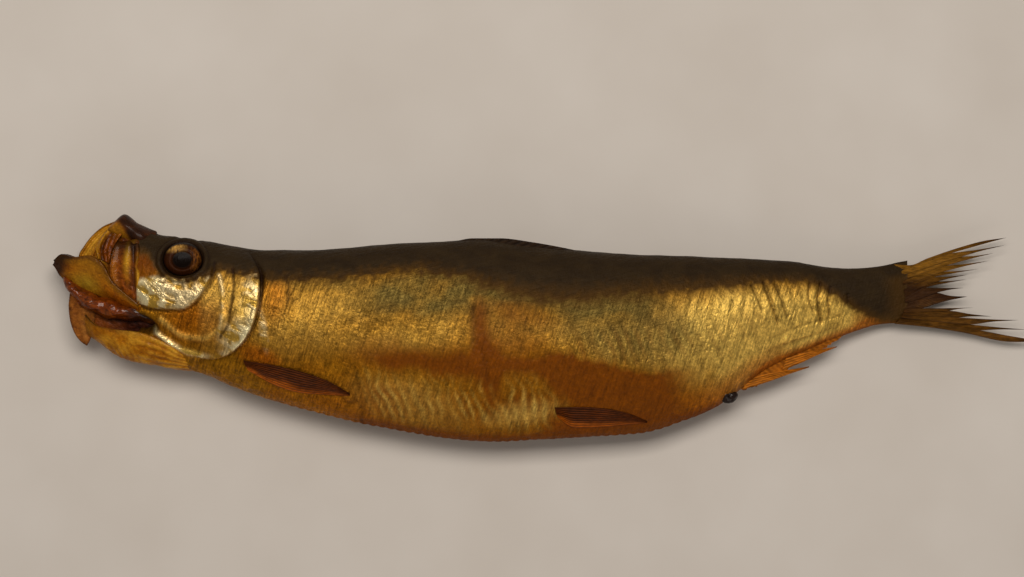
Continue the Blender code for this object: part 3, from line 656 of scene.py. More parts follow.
def skin_look():
    look = Look("smoked_skin")
    dark, stain_and_shade = look.mask("dark"), look.mask("stain_and_shade")
    sheen, silver = look.mask("sheen"), look.mask("silver")
    fine = look.noise((0.0006, 0.0008, 0.0007), 0, 3.0, 0.65)
    grains = look.cells((0.0010, 0.0013, 0.0012), 20)
    blotch = look.noise((0.006, 0.0035, 0.005), 0, 4.0, 0.6, 0.4)
    streak = look.noise((0.0007, 0.0056, 0.004), 18, 3.0, 0.65, 0.3)
    patch = look.noise((0.0024, 0.0018, 0.002), 0, 4.0, 0.65, 0.4)
    sheet = look.noise((0.0052, 0.0030, 0.004), 30, 2.0, 0.5, 0.6)
    wrinkle = look.noise((0.0060, 0.0006, 0.004), -14, 3.0, 0.65, 0.3)

    colour = look.mix(blotch, rgb(126, 76, 6), rgb(178, 122, 24))
    # Bright gold, partly painted highlight.
    colour = look.mix(look.math("MULTIPLY", look.mask("gold_and_highlight"), 0.9), colour, rgb(232, 190, 92))
    colour = look.mix(look.math("MULTIPLY", sheen, 0.85), colour, rgb(100, 88, 44))
    colour = look.mix(look.math("MULTIPLY", look.mask("amber"), 0.85), colour, rgb(168, 84, 8))
    # Brown of the stains, partly painted shade on the lower flank.
    colour = look.mix(look.math("MULTIPLY", stain_and_shade, 0.92), colour, rgb(109, 52, 0))
    foil = look.mix(look.range(sheet, 0.40, 0.56), rgb(196, 156, 66), rgb(252, 236, 184))
    colour = look.mix(look.math("MULTIPLY", silver, 0.9), colour, foil)
    uneven = look.range(look.math("MAXIMUM", silver, look.math("MULTIPLY", stain_and_shade, 0.7)), 0.0, 1.0, 1.0, 0.35)
    tone = look.range(fine, 0.3, 0.7, 0.64, 1.26)
    colour = look.mix(uneven, colour, tone, "MULTIPLY")
    tone = look.range(streak, 0.3, 0.7, 0.50, 1.42)
    colour = look.mix(uneven, colour, tone, "MULTIPLY")
    tone = look.range(patch, 0.3, 0.7, 0.70, 1.22)
    colour = look.mix(uneven, colour, tone, "MULTIPLY")
    colour = look.mix(look.range(dark, 0.0, 0.55), colour, rgb(82, 54, 16))
    back_colour = look.mix(blotch, rgb(28, 18, 9), rgb(58, 43, 22))
    colour = look.mix(look.range(dark, 0.3, 1.0), colour, back_colour)
    # Painted shade darkens the slits, grooves and creases.
    colour = look.mix(look.math("MULTIPLY", look.mask("crease_shade"), 0.88), colour, rgb(30, 14, 8))

    lit = look.math("MULTIPLY", look.math("SUBTRACT", 1.0, dark), look.math("SUBTRACT", 1.0, stain_and_shade))
    metal = look.range(lit, 0.0, 1.0, 0.06, 0.66)
    roughness = look.range(grains, 0.0, 0.9, 0.30, 0.46)
    roughness = look.math("SUBTRACT", roughness, look.math("MULTIPLY", silver, 0.18))
    roughness = look.math("ADD", roughness, look.math("MULTIPLY", dark, 0.10))
    wrinkles = look.math("MULTIPLY", wrinkle, look.math("ADD", sheen, dark, True))
    crumpled = look.math("MULTIPLY", sheet, look.range(silver, 0.0, 1.0, 0.7, 3.0))
    grain_share = look.range(silver, 0.0, 1.0, 1.0, 0.25)
    grain = look.math("MULTIPLY", look.math("ADD", fine, look.math("MULTIPLY", streak, 1.3)), grain_share)
    look.relief([(crumpled, 0.8), (patch, 0.7), (grain, 0.5), (grains, 0.20), (wrinkles, 0.9)], 0.0004)
    return look.finish(Base_Color=colour, Metallic=metal, Roughness=roughness, Coat_Weight=0.0,
                       Specular_IOR_Level=0.07)


# ---------------------------------------------------------------- eyes
def make_eye(side, word):
    """A slightly flattened ball with a pupil, a bronze iris and a dark rim, under a clear wet surface."""
    rings, turns = 72, 96
    polar = np.linspace(0.0, math.pi, rings)[1:-1]
    turn = np.linspace(0, 2 * math.pi, turns, endpoint=False)
    polar, turn = np.meshgrid(polar, turn, indexing="ij")
    eye_x, eye_y = EYE_PLACE
    centre = np.array([eye_x, eye_y, flank(eye_x, eye_y, side) - side * EYE_SINK])
    x, y, z = np.sin(polar) * np.cos(turn), np.sin(polar) * np.sin(turn), side * np.cos(polar)
    share = np.hypot(x, y) + (side * z < 0) * 2
    dip = 1 - 0.10 * bump(share, 0.56, 0.07) - 0.06 * (1 - smoothstep(0.40, 0.50, share))
    points = centre + np.stack([x * EYE_RADII[0], y * EYE_RADII[1], z * EYE_RADII[2] * dip], axis=-1)
    poles = centre + np.array([[0, 0, side * EYE_RADII[2] * 0.94], [0, 0, -side * EYE_RADII[2]]])
    flat = np.concatenate([points.reshape(-1, 3), poles])
    rows, cols = x.shape
    faces = [tuple(face) for face in grid_faces(rows, cols, closed_cols=True)]
    top, bottom = rows * cols, rows * cols + 1
    faces += [(top, j, (j + 1) % cols) for j in range(cols)]
    faces += [(bottom, (rows - 1) * cols + (j + 1) % cols, (rows - 1) * cols + j) for j in range(cols)]
    if side < 0:
        faces = [face[::-1] for face in faces]
    masks = {"share": np.append(share.ravel(), [0.0, 3.0]), "turn_x": np.append(x.ravel(), [0, 0]),
             "turn_y": np.append(y.ravel(), [0, 0])}
    return make_piece(f"eyeball_{word}", flat, faces, masks, eye_look(), f"eye_{word}")


def eye_look():
    if "smoked_eye" in bpy.data.materials:
        return bpy.data.materials["smoked_eye"]
    look = Look("smoked_eye")
    share = look.mask("share")
    fibres = look.noise((0.0005, 0.0016, 0.001), 0, 4.0, 0.65)
    # upper: a painted gold glint on the upper part of the iris.
    upper = look.math("MULTIPLY", look.range(look.mask("turn_y"), 0.35, 0.75),
                      look.range(look.mask("turn_x"), 0.30, -0.30))
    rear = look.math("MULTIPLY", look.range(look.mask("turn_x"), 0.30, 0.75), 0.7)
    iris = look.mix(fibres, rgb(26, 10, 3), rgb(66, 31, 8))
    iris = look.mix(look.math("MULTIPLY", rear, look.range(fibres, 0.4, 0.7)), iris, rgb(170, 104, 36))
    iris = look.mix(look.math("MULTIPLY", upper, look.range(fibres, 0.3, 0.6)), iris, rgb(226, 170, 84))
    colour = look.mix(look.range(share, 0.42, 0.54), rgb(14, 6, 3), iris)
    colour = look.mix(look.range(share, 0.82, 0.93), colour, rgb(20, 11, 7))
    look.relief([(fibres, 0.6)], 0.0003)
    return look.finish(Base_Color=colour, Metallic=0.1, Roughness=0.34, Coat_Weight=0.03, Coat_Roughness=0.12,
                       Specular_IOR_Level=0.05)


# ---------------------------------------------------------------- mouth and throat
def flesh_look(name, deep, mid, light, wet=0.11, size=0.0022):
    """Dried membrane over bone: light where thin or raised, dark where burnt, and painted shade in folds."""
    look = Look(name)
    thin, ribs = look.mask("thin"), look.mask("ribs")
    patches = look.noise((size, size * 0.7, size), 25, 4.0, 0.62, 0.5)
    fine = look.noise((0.0006, 0.0005, 0.0005), 0, 3.0, 0.6)
    colour = look.mix(look.range(patches, 0.32, 0.62), deep, mid)
    colour = look.mix(look.math("MULTIPLY", thin, look.range(patches, 0.25, 0.6, 0.55, 1.0)), colour, light)
    # burnt: smoke-burnt parts, and painted shade in folds, grooves and deep in the mouth.
    colour = look.mix(look.math("MULTIPLY", look.mask("burnt"), 0.92), colour, rgb(30, 18, 11))
    colour = look.mix(1.0, colour, look.range(fine, 0.3, 0.7, 0.75, 1.2), "MULTIPLY")
    look.relief([(patches, 0.5), (fine, 0.35), (ribs, 0.3)], 0.0005)
    return look.finish(Base_Color=colour, Metallic=0.12, Roughness=0.40, Coat_Weight=wet, Coat_Roughness=0.10,
                       Specular_IOR_Level=0.06)


def relief_of(x, y, z, size=3.0, height=0.3, seed=70):
    return height * rough(np.stack([x, y, z], axis=-1), size, 4, seed)


def masks_of(x, thin=0.0, ribs=0.0, burnt=0.0):
    full = np.ones(np.shape(x))
    return {"thin": np.clip(thin * full, 0, 1), "ribs": ribs * full, "burnt": np.clip(burnt * full, 0, 1)}


def make_snout():
    """The dark, raised front of the skull, from the tip of the upper jaw to the brow."""
    upper = path_through([(16.9, 30.6), (21.4, 34.15), (25.6, 31.3), (31.0, 28.9)])
    lower = path_through([(16.3, 28.9), (19.6, 27.2), (24.6, 24.8), (31.0, 22.0)])
    s = np.linspace(0, 1, 60)
    turn = np.linspace(0, 2 * math.pi, 64, endpoint=False)
    s, turn = np.meshgrid(s, turn, indexing="ij")
    top, bottom = upper(s), lower(s)
    centre, half = (top + bottom) / 2, (top - bottom) / 2
    xy = centre + half * np.cos(turn)[..., None]
    width = 5.1 * (0.42 + 0.58 * np.sqrt(np.clip(s * 1.6, 0, 1))) * (1 - 0.5 * smoothstep(0.70, 1.0, s))
    z = middle(xy[..., 0]) + width * np.sin(turn)
    p = np.stack([xy[..., 0], xy[..., 1], z], axis=-1)
    p = p + 0.22 * rough(p, 2.6, 4, 77)[...,
                                        None] * np.stack([np.zeros_like(z), np.cos(turn), np.sin(turn)], -1)
    burnt = smoothstep(0.22, 0.42, s + 0.22 * np.cos(turn)) + 0.4 * bump(s, 0.0, 0.04)
    masks = masks_of(z, thin=0.35 * (1 - burnt), burnt=0.96 * burnt + 0.25 * rough(p, 3.0, 3, 79))
    return make_piece("snout", p.reshape(-1, 3), tube_faces(*z.shape), masks, MOUTH_SKIN)


def make_far_lip():
    """The far side of the upper jaw, swung forward: a thin, amber rim that the light shines through."""
    outer = [(21.6, 33.9), (18.4, 32.3), (14.4, 30.6), (11.2, 28.0), (8.8, 25.0), (7.0, 21.6), (7.6, 17.0)]
    inner = [(21.0, 28.0), (18.6, 27.0), (16.2, 25.4), (14.6, 23.0), (13.6, 20.6), (13.0, 18.2),
             (13.0, 15.5)]
    x, y, s, t = between(outer, inner, 110, 40)
    z = middle(x) - 5.2 + 4.2 * smoothstep(0, 1, t) + 0.9 * bump(t, 0.04, 0.08)
    z = z + relief_of(x, y, z, 2.6, 0.30, 81) + 0.16 * np.sin(2 * math.pi * (6 * t + s))
    thin = 0.85 * bump(t, 0.28, 0.22) * bump(s, 0.52, 0.4) + 0.1
    burnt = 0.75 * bump(t, 0.0, 0.05) + 0.65 * smoothstep(0.62, 0.95, t) * bump(s, 0.3, 0.5)
    top = np.stack([x, y, z], axis=-1)
    return plate("far_lip", top, 0.7 + 0.5 * bump(t, 0.0, 0.15), masks_of(x, thin, 0, burnt), AMBER_SKIN)


def make_near_lip():
    """The near rim of the mouth, a gathered ridge of skin from the snout down to the jaw."""
    outer = [(20.4, 33.4), (17.0, 30.4), (14.2, 27.2), (12.6, 23.6), (13.2, 21.0)]
    inner = [(23.6, 31.4), (21.2, 28.6), (19.2, 25.8), (17.6, 22.6), (17.0, 19.4)]
    x, y, s, t = between(outer, inner, 90, 36)
    z = middle(x) + 0.6 + 3.2 * t + 1.1 * bump(t, 0.14, 0.15) - 5.0 * (1 - smoothstep(0.0, 0.16, s))
    z = z + relief_of(x, y, z, 2.2, 0.42, 84) + 0.22 * np.sin(2 * math.pi * (3.5 * t - 2.2 * s))
    thin = 0.55 * bump(t, 0.12, 0.14) + 0.2 * bump(s, 0.2, 0.2)
    burnt = 0.7 * bump(t, 0.42, 0.10) + 0.7 * (1 - smoothstep(0.08, 0.34, s))
    return plate("near_lip", np.stack([x, y, z], -1), 0.9, masks_of(x, thin, 0, burnt), MOUTH_SKIN)


def make_mouth_lining():
    """The lining inside the gape, drawn into folds between the jaws."""
    front = [(20.6, 31.0), (15.2, 26.6), (11.8, 21.4), (11.6, 16.0), (13.2, 9.6)]
    rear = [(27.4, 28.6), (26.8, 22.6), (26.4, 17.0), (26.6, 11.4), (27.4, 5.4)]
    x, y, s, t = between(front, rear, 110, 80)
    z = middle(x) + 1.4 + 4.2 * smoothstep(0.0, 1.0, t) - 1.2 * bump(t, 0.45, 0.22) \
        - 5.0 * (1 - smoothstep(0.0, 0.16, s))
    z = z + 0.55 * np.sin(2 * math.pi * (2.6 * t + 0.35 * np.sin(3.2 * s))) * (1 - 0.4 * s)
    z = z + relief_of(x, y, z, 2.4, 0.40, 87)
    thin = 0.75 * bump(t, 0.18, 0.12) * bump(s, 0.42, 0.3) + 0.55 * bump(t, 0.72, 0.1)
    # burnt: painted shade in the lining's middle fold and where it dips under the snout.
    burnt = 0.55 * bump(t, 0.5, 0.14) * smoothstep(0.2, 0.6, s) + 0.8 * (1 - smoothstep(0.10, 0.36, s))
    return plate("mouth_lining", np.stack([x, y, z], -1), 1.2, masks_of(x, thin, 0, burnt), MOUTH_SKIN)


def make_near_jawbone():
    """The near upper jawbone: a curved plate that hangs from the snout to the corner of the mouth."""
    front = [(19.8, 27.4), (18.4, 22.6), (17.6, 17.4), (19.0, 12.0), (23.6, 6.8)]
    rear = [(26.4, 27.6), (27.4, 22.4), (27.6, 17.0), (27.4, 12.0), (27.0, 6.6)]
    x, y, s, t = between(front, rear, 120, 56)
    z = middle(x) + 6.4 + 1.6 * t - 1.3 * bump(s, 0.0, 0.25) - 5.5 * (1 - smoothstep(0.0, 0.14, s))
    z = z - 3.4 * smoothstep(0.80, 1.0, t + 0.06 * noise(np.stack([x, y, 0 * x], -1), 2.4, 91))
    strip = bump(t, 0.50, 0.10) * bump(s, 0.28, 0.24) + bump(t, 0.86, 0.07) * bump(s, 0.62, 0.34)
    z = z + 0.55 * strip - 0.45 * bump(t, 0.70, 0.06) + 0.3 * bump(t, 0.05, 0.08) + relief_of(x, y, z, 2.0,
                                                                                              0.22, 90)
    # burnt: painted shade in the groove at t = 0.7, at the rear edge where the plate drops away, and under
    # the snout.
    burnt = 0.6 * bump(t, 0.70, 0.08) + 0.35 * bump(t, 0.98, 0.08) + 0.85 * (1 - smoothstep(0.12, 0.36, s))
    thin = np.clip(0.95 * strip + 0.12 * bump(t, 0.1, 0.1), 0, 1)
    return plate("near_jawbone", np.stack([x, y, z], -1), 1.3, masks_of(x, thin, strip, burnt), MOUTH_SKIN)


def make_trough(name, rim, keel, width_line, wall, marks, material, rows=110, cols=90, seed=93, height=0.25,
                sink=0.0):
    """A channel, open upwards, such as a jaw: its keel runs along the bottom and its sides end at the rim."""
    rim_line, keel_line, width = path_through(rim), path_through(keel), line_through(width_line)
    s = np.linspace(0, 1, rows)
    t = np.linspace(0, 1, cols)
    s, t = np.meshgrid(s, t, indexing="ij")
    top, bottom = rim_line(s), keel_line(s)
    turn = math.pi * (t - 0.5)
    xy = bottom + (top - bottom) * (1 - np.cos(turn))[..., None]
    z = middle(xy[..., 0]) + width(xy[..., 0]) * np.sin(turn) - sink * smoothstep(0.72, 1.0, s)
    p = np.stack([xy[..., 0], xy[..., 1], z], axis=-1)
    across = np.gradient(p, axis=1)
    along = np.gradient(p, axis=0)
    normal = np.cross(along, across)
    normal /= np.maximum(np.linalg.norm(normal, axis=-1, keepdims=True), 1e-9)
    out = np.sign((normal * np.stack([np.zeros_like(z), -np.cos(turn), np.sin(turn)], -1)).sum(-1,
                                                                                               keepdims=True))
    normal = normal * np.where(out == 0, 1, out)
    masks, up = marks(p, s, t)
    up = up + height * rough(p, 2.4, 4, seed)
    outer = p + normal * (up + wall / 2)[..., None]
    inner = p - normal * (wall / 2)
    points = np.concatenate([outer.reshape(-1, 3), inner.reshape(-1, 3)])
    doubled = {key: np.concatenate([np.ravel(v), np.ravel(v)]) for key, v in masks.items()}
    return make_piece(name, points, shell_faces(rows, cols)[:, ::-1], doubled, material)


def make_lower_jaw():
    """The lower jaw: a dark tip, orange bone half clear of skin, and a darker edge."""

    def marks(_, s, t):
        near = smoothstep(0.5, 0.9, t)
        plate_mid = bump(s, 0.40, 0.20) * bump(t, 0.72, 0.14)
        thin = 0.8 * plate_mid + 0.35 * bump(t, 0.95, 0.08)
        burnt = (1 - smoothstep(0.10, 0.24, s)) + 0.65 * bump(t, 0.985, 0.03)
        burnt = burnt + 0.5 * bump(t, 0.56, 0.05) * near
        ribs = 0.25 * bump(t, 0.62, 0.03) + 0.35 * bump(t, 0.97, 0.04) + 0.25 * plate_mid
        return masks_of(s, thin, ribs, burnt), ribs

    rim = [(0.6, 20.5), (3.2, 22.2), (6.8, 21.3), (11.0, 21.8), (15.4, 19.4), (18.6, 14.0), (26.4, 7.2)]
    keel = [(0.3, 19.4), (2.6, 15.6), (6.6, 12.8), (13.0, 10.2), (20.0, 7.4), (27.0, 4.2)]
    widths = [(0, 0.8), (3, 2.6), (10, 5.0), (18, 6.8), (27, 8.0)]
    return make_trough("lower_jaw", rim, keel, widths, 1.2, marks, JAW_SKIN)


def make_throat():
    """The membrane under the throat, held out by a fan of fine rays."""

    def marks(p, s, t):
        bearing = np.arctan2(p[..., 1] + 12.5, 49.0 - p[..., 0]) + 0.05 * noise(p, 6.0, 95)
        fan = np.sin(2 * math.pi * bearing / 0.085)
        short = np.sin(2 * math.pi * (p[..., 0] + 0.5 * p[..., 1] + noise(p, 5.0, 96)) / 1.7)
        ribs = 0.09 * fan * smoothstep(0.35, 0.6, s) + 0.07 * short * bump(s, 0.34, 0.2) * bump(t, 0.6, 0.35)
        thin = 0.25 + 2.6 * ribs + 0.30 * smoothstep(0.3, 1.0, s) + 0.5 * noise(p, 3.0, 97)
        burnt = 0.5 * bump(t, 0.99, 0.03) * (1 - s) + 0.35 * smoothstep(0.12, 0.0, s)
        return masks_of(s, thin, ribs, burnt), ribs

    rim = [(9.8, 4.0), (13.0, 1.0), (18.0, -0.2), (28.0, -1.6), (36.0, -5.4), (45.0, -10.6)]
    keel = [(10.6, -1.8), (14.1, -4.1), (18.0, -7.2), (23.0, -9.5), (31.0, -10.7), (38.0, -12.2),
            (45.0, -12.4)]
    widths = [(9, 2.4), (14, 4.4), (20, 5.6), (27, 6.4), (34, 6.0), (40, 4.4), (45, 1.6)]
    return make_trough("throat", rim, keel, widths, 1.0, marks, AMBER_SKIN, 120, 90, 97, 0.30, 2.5)


def make_gill_stump():
    """The wet, dark red tissue between the jaw and the throat: tongue, gill arches and torn membrane."""
    route = path_through([(32.0, 2.6, 2.2), (26.0, 4.4, 2.6), (19.0, 5.4, 2.9), (12.0, 7.6, 2.8),
                          (7.4, 10.6, 2.1),
                          (4.4, 13.6, 1.2), (3.4, 15.4, 0.5)])
    s = np.linspace(0, 1, 150)
    turn = np.linspace(0, 2 * math.pi, 72, endpoint=False)
    centre = route(s)
    s2, turn2 = np.meshgrid(s, turn, indexing="ij")
    tangent = np.gradient(centre[:, :2], axis=0)
    tangent /= np.linalg.norm(tangent, axis=1, keepdims=True)
    radius = centre[:, 2][:, None] * (1 + 0.10 * np.sin(9 * s2 * math.pi + 2 * np.sin(turn2)))
    x = centre[:, 0][:, None] - tangent[:, 1][:, None] * radius * np.cos(turn2)
    y = centre[:, 1][:, None] + tangent[:, 0][:, None] * radius * np.cos(turn2)
    z = middle(centre[:, 0])[:, None] + 1.4 + 1.7 * radius * np.sin(turn2)
    p = np.stack([x, y, z], axis=-1)
    spoke = np.stack([x - centre[:, 0][:, None], y - centre[:, 1][:, None], z
                      - middle(centre[:, 0])[:, None]], -1)
    spoke /= np.maximum(np.linalg.norm(spoke, axis=-1, keepdims=True), 1e-9)
    p = p + spoke * (0.55 * rough(p, (2.6, 1.4, 1.8), 4, 103))[..., None]
    faces = tube_faces(*x.shape, turned=True)
    burnt = 0.8 * smoothstep(0.42, 0.20, s2) + 0.3 * rough(p, 2.5, 3, 105)
    masks = masks_of(x, 0.25 * rough(p, 2.0, 3, 106), 0, burnt)
    return make_piece("gill_stump", p.reshape(-1, 3), faces, masks, WET_FLESH)


def make_gullet():
    """The back of the mouth, between the gills' stump and the throat's membrane: dark, partly painted shade.
    """
    upper = [(6.6, 11.0), (13.0, 9.4), (20.0, 7.0), (27.0, 4.8), (35.0, 2.4)]
    lower = [(10.6, 1.0), (15.0, -3.0), (21.0, -5.6), (28.0, -6.4), (38.0, -8.4)]
    x, y, s, t = between(upper, lower, 110, 50)
    z = middle(x) + 1.6 + 2.2 * smoothstep(0.3, 1.0, s) - 1.6 * t + relief_of(x, y, 0 * x, 2.4, 0.5, 113)
    thin = 0.9 * (1 - smoothstep(0.15, 0.6, s)) * bump(t, 0.6, 0.4)
    # Darker towards the rear: painted shade deep in the mouth.
    burnt = 0.45 * smoothstep(0.35, 0.7, s) + 0.2 * noise(np.stack([x, y, 0 * x], -1), 2.0, 115)
    return plate("gullet", np.stack([x, y, z], -1), 1.0, masks_of(x, thin, 0, burnt), GULLET_SKIN)


def make_flap():
    """The pointed flap of membrane that hangs loose in front of the throat."""
    front = [(5.0, 10.4), (4.6, 6.4), (5.0, 2.2), (6.2, -1.4), (7.8, -3.8), (9.7, -5.3)]
    rear = [(10.8, 8.8), (12.6, 5.0), (12.2, 1.0), (11.5, -1.6), (10.9, -3.6), (10.0, -5.3)]
    x, y, s, t = between(front, rear, 90, 44)
    z = middle(x) + 2.2 - 2.4 * s + 0.9 * bump(t, 0.5, 0.35) * (1 - 0.6 * s)
    z = z + relief_of(x, y, 0 * x, 2.2, 0.35, 110)
    thin = 0.40 * bump(t, 0.62, 0.2) * bump(s, 0.6, 0.3)
    burnt = 0.6 * bump(t, 0.0, 0.08) + 0.45 * bump(t, 1.0, 0.07) + 0.6 * smoothstep(0.86, 1.0, s)
    return plate("throat_flap", np.stack([x, y, z], -1), 0.9, masks_of(x, thin, 0, burnt), FLAP_SKIN)


# ---------------------------------------------------------------- fins
def fin_look(name, deep, mid, light):
    """A dried fin: streaks along its rays, lighter between them."""
    look = Look(name)
    ray, edge, warm = look.mask("ray"), look.mask("edge"), look.mask("warm")
    patches = look.noise((0.005, 0.0022, 0.004), 0, 4.0, 0.6)
    fine = look.noise((0.0022, 0.00045, 0.001), 0, 3.0, 0.6)
    colour = look.mix(look.range(patches, 0.3, 0.65), deep, mid)
    colour = look.mix(look.math("MULTIPLY", warm, 0.9), colour, light)
    colour = look.mix(1.0, colour, look.range(ray, 0.0, 1.0, 0.45, 1.30), "MULTIPLY")
    colour = look.mix(1.0, colour, look.range(fine, 0.3, 0.7, 0.50, 1.40), "MULTIPLY")
    colour = look.mix(look.math("MULTIPLY", edge, 0.8), colour, rgb(44, 22, 10))
    look.relief([(fine, 0.5), (ray, 0.35)], 0.0004)
    return look.finish(Base_Color=colour, Metallic=0.10, Roughness=0.46, Specular_IOR_Level=0.08)


def fin_masks(x, ray, edge=0.0, warm=0.0):
    full = np.ones(np.shape(x))
    return {"ray": np.clip(ray * full, 0, 1), "edge": np.clip(edge * full, 0, 1),
            "warm": np.clip(warm * full, 0, 1)}


def make_paired_fin(name, upper, lower, side, rays, warm_side, seed, height):
    """A fin folded against the belly: its rays lie side by side and draw together at the tip."""
    x, y, s, t = between(upper, lower, 130, 76)
    phase = rays * (t + 0.012 * np.sin(9 * s))
    ray = np.abs(np.sin(math.pi * phase))
    lift = height * (1 - s**4) * np.sqrt(np.clip(np.sin(math.pi * np.clip(t, 0.02, 0.98)), 0, 1)) + 0.15
    z = flank(x, y, side) + side * (lift + 0.20 * ray * (1 - 0.7 * s))
    z = z + side * relief_of(x, y, z, 3.0, 0.20, seed)
    # edge: along the fin's upper side a painted shadow line where it meets the body; also darker towards the
    # tip.
    edge = 0.6 * bump(t, 0.0, 0.14) + 0.4 * smoothstep(0.90, 1.0, s)
    ragged = 0.12 * noise(np.stack([x, y, 0 * x], -1), (5.0, 2.0, 3.0), seed)
    warm = warm_side * smoothstep(0.55, 0.90, t + ragged) * (1 - 0.6 * s) + 0.10 * ray
    down = (0, 0, -side)
    return plate(name, np.stack([x, y, z], -1), 1.3, fin_masks(x, ray, edge, warm), RED_FIN, down=down)


def blade(upper, lower, rows, cols, rays, seed, lift=0.0, thickness=0.55):
    """Upper face, lower face and masks of one bundle of rays, flat along the fish's middle plane."""
    x, y, s, t = between(upper, lower, rows, cols)
    ray = np.abs(np.sin(math.pi * rays * t + 0.8 * np.sin(4 * s + seed)))
    body = np.sqrt(np.clip(4 * t * (1 - t), 0, 1))
    z = middle(x) + lift + 0.22 * ray + 0.35 * body
    z = z + 0.25 * noise(np.stack([x, y, 0 * x], -1), (9, 2.0, 5), seed)
    depth = thickness * (0.35 + 0.65 * body) * (1 - 0.6 * s)
    return np.stack([x, y, z], axis=-1), depth, s, t, ray


# Ray bundles of the tail, top to bottom: root, the notch above it, its tip, and how far it stands up.
TAIL_BUNDLES = [
    ((254.6, 18.6), (263.4, 20.9), (287.0, 27.2), 0.35), ((255.0, 17.2), (275.2, 24.3), (286.7, 25.0), 0.75),
    ((255.2, 15.8), (279.6, 23.5), (283.0, 22.5), 0.25), ((255.4, 14.2), (273.2, 20.3), (282.0, 20.3), 0.85),
    ((255.6, 12.8), (271.6, 18.3), (278.8, 17.8), 0.30), ((255.8, 11.5), (267.4, 16.5), (275.6, 16.1), 0.95),
    ((256.0, 10.2), (269.4, 15.3), (274.9, 14.6), 0.35), ((256.2, 8.8), (264.8, 13.4), (274.0, 12.1), 0.80),
    ((256.2, 7.4), (269.2, 11.8), (275.2, 9.4), 0.15), ((256.0, 5.6), (262.8, 6.0), (277.0, 6.1), 0.70),
    ((255.6, 4.6), (274.6, 5.4), (282.6, 3.4), 0.30), ((255.2, 3.8), (277.8, 2.9), (290.8, 2.3), 0.80),
    ((254.6, 3.0), (283.4, 0.3), (293.8, -0.6), 0.25), ((253.8, 2.2), (288.0, -1.8), (295.4, -3.7), 0.65),
]
# How far the notches lie towards the roots, and how hollow the blades' sides are.
NOTCH_SHIFT = 0.28
TIP_HOLLOW = 0.07
TAIL_LOWER_EDGE = [(253.0, 1.2), (263.0, 0.2), (275.0, -1.7), (286.0, -4.1), (295.4, -4.3)]


def make_tail():
    """The forked tail: each bundle of rays is a blade that runs on past the notch on either side of it."""
    blades = []
    for i, (root, notch, tip, lift) in enumerate(TAIL_BUNDLES):
        root, notch, tip = np.array(root), np.array(notch), np.array(tip)
        notch = notch + NOTCH_SHIFT * (root - notch) * (i > 0)
        if i == 0:
            upper = np.array([(252.8, 19.2), (257.6, 18.9), (263.2, 21.0), (272.0, 24.0), (280.0, 26.2), tip])
        if i + 1 < len(TAIL_BUNDLES):
            next_root, next_notch = np.array(TAIL_BUNDLES[i + 1][0]), np.array(TAIL_BUNDLES[i + 1][1])
            next_notch = next_notch + NOTCH_SHIFT * (next_root - next_notch)
            # The last bundle keeps the hollow of the one above it.
            across = TIP_HOLLOW * (next_notch - notch)
            lower = np.array([next_root, (next_root + next_notch) / 2 - (0, 0.15), next_notch - (0, 0.10),
                              (next_notch + tip) / 2 - across, tip])
        else:
            lower = np.array(TAIL_LOWER_EDGE)
        if i > 0:
            upper = np.array([root, (root + notch) / 2 + (0, 0.15), notch, (notch + tip) / 2 + across, tip])
        width = np.linalg.norm(upper[1] - lower[1]) + 0.5
        top, depth, s, t, ray = blade(upper, lower, 90, 20, max(2, round(2.4 * width)), i, lift)
        far = np.hypot(top[..., 0] - 256, 0.6 * (top[..., 1] - 9.5))
        edge = 0.55 * bump(t, 0.0, 0.10) + 0.55 * bump(t, 1.0, 0.10) + 0.55 * smoothstep(0.75, 1.0, s)
        core = bump(top[..., 1], 10.0, 3.6) * bump(far, 12, 12)
        base = bump(far, 0.0, 5.5) * smoothstep(17.5, 13.5, top[..., 1])
        warm = (0.95 - core) * (0.25 + 0.75 * bump(top[..., 1], 19.5, 6)) * (1 - 0.6 * s)
        blades.append((top, depth, fin_masks(s, ray, edge + 0.8 * core + 0.9 * base, warm)))
    return join_plates("tail_fin", blades, TAIL_FIN)


